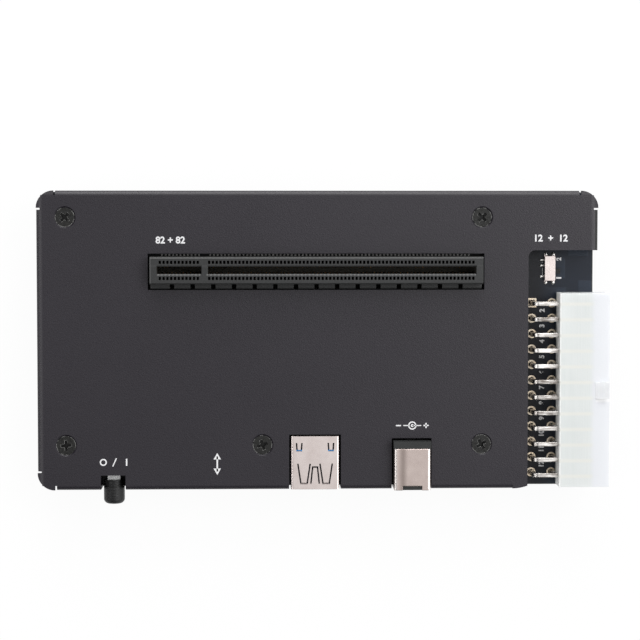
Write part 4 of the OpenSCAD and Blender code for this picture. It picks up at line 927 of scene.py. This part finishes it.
# %% Marks on the cover
NUMBER_HIGH = 1.8
OFF_X, STROKE_X, ON_X, SWITCH_Y = -57.5, -54.5, -51.3, -32.5
ARROW_X, ARROW_LOW, ARROW_HIGH, ARROW_TIP = -27.1, -36.0, -30.1, 1.15
INLET_X, POLE_Y = 25.2, -22.9
NUMBERS = (("82 + 82", -39.4, 26.9), ("12  +  12", 62.2, 27.4))
RINGS = ((OFF_X, SWITCH_Y, 0.6, 0.95), (INLET_X, POLE_Y, 0.78, 1.12),
         (INLET_X, POLE_Y, 0.02, 0.4))
STROKES = (((STROKE_X - 0.5, SWITCH_Y - 1.1), (STROKE_X + 0.5, SWITCH_Y + 1.1), 0.3),
           ((ON_X, SWITCH_Y - 0.95), (ON_X, SWITCH_Y + 0.95), 0.4),
           ((ARROW_X, ARROW_LOW + 0.9), (ARROW_X, ARROW_HIGH - 0.9), 0.42),
           ((INLET_X - 4.4, POLE_Y), (INLET_X - 3.0, POLE_Y), 0.36),
           ((INLET_X - 2.4, POLE_Y), (INLET_X - 1.0, POLE_Y), 0.28),
           ((INLET_X, POLE_Y), (INLET_X + 2.4, POLE_Y), 0.28),
           ((INLET_X + 3.0, POLE_Y), (INLET_X + 4.4, POLE_Y), 0.36),
           ((INLET_X + 3.7, POLE_Y - 0.7), (INLET_X + 3.7, POLE_Y + 0.7), 0.36))

marks = bmesh.new()
for words, middle_x, middle_y in NUMBERS:
    add_number(marks, words, spot(middle_x, middle_y, COVER_TOP), NUMBER_HIGH)
for middle_x, middle_y, inner, outer in RINGS:
    add_ring(marks, spot(middle_x, middle_y, COVER_TOP), inner, outer, INK_HIGH)
for start, end, width in STROKES:
    add_stroke(marks, start, end, COVER_TOP, width)
add_arrow_tip(marks, (ARROW_X, ARROW_HIGH), math.pi / 2, COVER_TOP, ARROW_TIP)
add_arrow_tip(marks, (ARROW_X, ARROW_LOW), -math.pi / 2, COVER_TOP, ARROW_TIP)
finish_piece("printed_marks", marks, white_ink)

# %% [markdown]
# ## Print on the board
# The board carries its own white print: the numbers 1 and 2 for the selector's two places, two
# short lines beside it, and the numbers 2 to 12 between the header's rows of pins. They read
# from the side, so each is turned by a quarter.

# %% Marks on the board
ROW_NUMBER_X, ROW_NUMBER_HIGH = 61.0, 1.35
PLACE_X, PLACE_HIGH = 65.5, 1.25
PLACES = (("2", 21.6, 0.06), ("1", 16.5, 0.09))
LINE_X, LINE_WIDE = 61.1, 0.14
LINES = ((17.2, 19.2), (20.6, 20.9))

board_print = bmesh.new()
for words, middle_y, bold in PLACES:
    add_number(board_print, words, spot(PLACE_X, middle_y), PLACE_HIGH, math.pi / 2, bold)
for row in range(1, HEADER_ROWS):
    add_number(board_print, str(row + 1), spot(ROW_NUMBER_X, row_place(row - 0.5)),
               ROW_NUMBER_HIGH, math.pi / 2, bold=0.045)
for line_low, line_high in LINES:
    add_stroke(board_print, (LINE_X, line_low), (LINE_X, line_high), 0, LINE_WIDE)
finish_piece("board_print", board_print, white_ink)

# %% [markdown]
# ## Solder at the selector
# The selector is soldered at its four corner tabs and three pins. Molten solder climbs a little
# up the metal and sets as a smooth low mound, so each is a squashed ball, flat underneath.

# %% Solder mounds
TAB_MOUND = (0.95, 1.2, 0.36)
PIN_MOUND = (1.3, 0.7, 0.26)
TAB_IN_X, TAB_IN_Y = 0.4, 0.25
PIN_IN_X, PIN_IN_Y, SECOND_PIN = 0.45, 0.225, 1.71


def add_mound(form, x, y, size):
    wide, long, high = size
    ball = bmesh.ops.create_uvsphere(form, u_segments=16, v_segments=8, radius=1.0)["verts"]
    bmesh.ops.scale(form, vec=(wide / 2 * MM, long / 2 * MM, high * MM), verts=ball)
    bmesh.ops.translate(form, vec=(x, y, BOARD_TOP), verts=ball)
    for vert in ball:
        vert.co.z = max(vert.co.z, BOARD_TOP)


mounds = bmesh.new()
shell_low, shell_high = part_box("slide_switch_shell")
for tab_x in (shell_low.x + TAB_IN_X * MM, shell_high.x - TAB_IN_X * MM):
    for tab_y in (shell_low.y + TAB_IN_Y * MM, shell_high.y - TAB_IN_Y * MM):
        add_mound(mounds, tab_x, tab_y, TAB_MOUND)
pins_low, pins_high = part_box("slide_switch_pins")
for pin_y in (pins_high.y - PIN_IN_Y * MM, pins_high.y - SECOND_PIN * MM,
              pins_low.y + PIN_IN_Y * MM):
    add_mound(mounds, pins_low.x + PIN_IN_X * MM, pin_y, PIN_MOUND)
solder = grained("solder", dark=(0.62, 0.61, 0.59), light=(0.80, 0.79, 0.77), rough=(0.18, 0.32),
                 grain_size=0.3, depth=0.01, patch_size=1.5, Metallic=1.0)
finish_piece("selector_solder", mounds, solder, smooth=True)

# %% [markdown]
# ## Floor
# The photograph's ground is pure white. The floor is white to the camera and to mirrors, while
# the light that it throws on the object stays at a plain level. A part of its shade is kept, so
# that the object stands on it and doesn't float.

# %% Floor
FLOOR_SIZE = 6.0
FLOOR_COLOUR, WHITE = (0.92, 0.92, 0.92, 1.0), (1.0, 1.0, 1.0, 1.0)
SHADE_KEPT = 0.06


def white_to_camera(tree):
    path = node_in(tree, "LightPath")
    seen = sums(tree, "MAXIMUM", path.outputs["Is Camera Ray"], path.outputs["Is Glossy Ray"])
    return sums(tree, "MAXIMUM", seen, path.outputs["Is Transmission Ray"])


floor_form = bmesh.new()
bmesh.ops.create_grid(floor_form, x_segments=1, y_segments=1, size=FLOOR_SIZE / 2)
floor_mesh = bpy.data.meshes.new("floor")
floor_form.to_mesh(floor_mesh)
floor_form.free()
floor = bpy.data.objects.new("floor", floor_mesh)
bpy.context.scene.collection.objects.link(floor)
floor_finish = bpy.data.materials.new("white_floor")
floor_finish.use_nodes = True
tree = floor_finish.node_tree
tree.nodes.clear()
paper = node_in(tree, "BsdfDiffuse", Color=FLOOR_COLOUR)
glow = node_in(tree, "Emission", Color=WHITE, Strength=1.0)
glow_share = product(tree, white_to_camera(tree), 1.0 - SHADE_KEPT)
both = node_in(tree, "MixShader", _0=glow_share, _1=paper.outputs[0], _2=glow.outputs[0])
node_in(tree, "OutputMaterial", Surface=both.outputs[0])
floor_mesh.materials.append(floor_finish)
print("floor", FLOOR_SIZE, "m wide")

# %% [markdown]
# ## World
# The sky is plain white to the camera. In the shiny parts it is darker towards the front left,
# as in a studio whose lamps stand behind the object, so the coat keeps its depth. Its light on
# matt surfaces is half of white, and the lamps bring the rest.

# %% World
WORLD_LIGHT = 0.5
SKY_DARK, SKY_LIGHT = 0.15, 1.0
SKY_RIGHT, SKY_BACK = 0.8, 0.5
DARK_UP_TO, LIGHT_FROM = -0.3, 0.0
world = bpy.data.worlds.new("studio")
bpy.context.scene.world = world
world.use_nodes = True
tree = world.node_tree
tree.nodes.clear()
way = split_place(tree, tree.nodes.new("ShaderNodeTexCoord").outputs["Generated"])
to_back_right = sums(tree, "MULTIPLY_ADD", way[0], SKY_RIGHT, product(tree, way[1], SKY_BACK))
shade = ramp(tree, to_back_right, DARK_UP_TO, LIGHT_FROM, SKY_DARK, SKY_LIGHT, smooth=True)
mirrored = node_in(tree, "Mix", _0=white_to_camera(tree), _2=WORLD_LIGHT, _3=shade).outputs[0]
strength = sums(tree, "MAXIMUM", mirrored, node_in(tree, "LightPath").outputs["Is Camera Ray"])
sky = node_in(tree, "Background", Color=WHITE, Strength=strength)
node_in(tree, "OutputWorld", Surface=sky.outputs[0])
bpy.context.scene.view_settings.view_transform = "Standard"
print("world light", WORLD_LIGHT, "and sky in mirrors", SKY_DARK, "to", SKY_LIGHT)
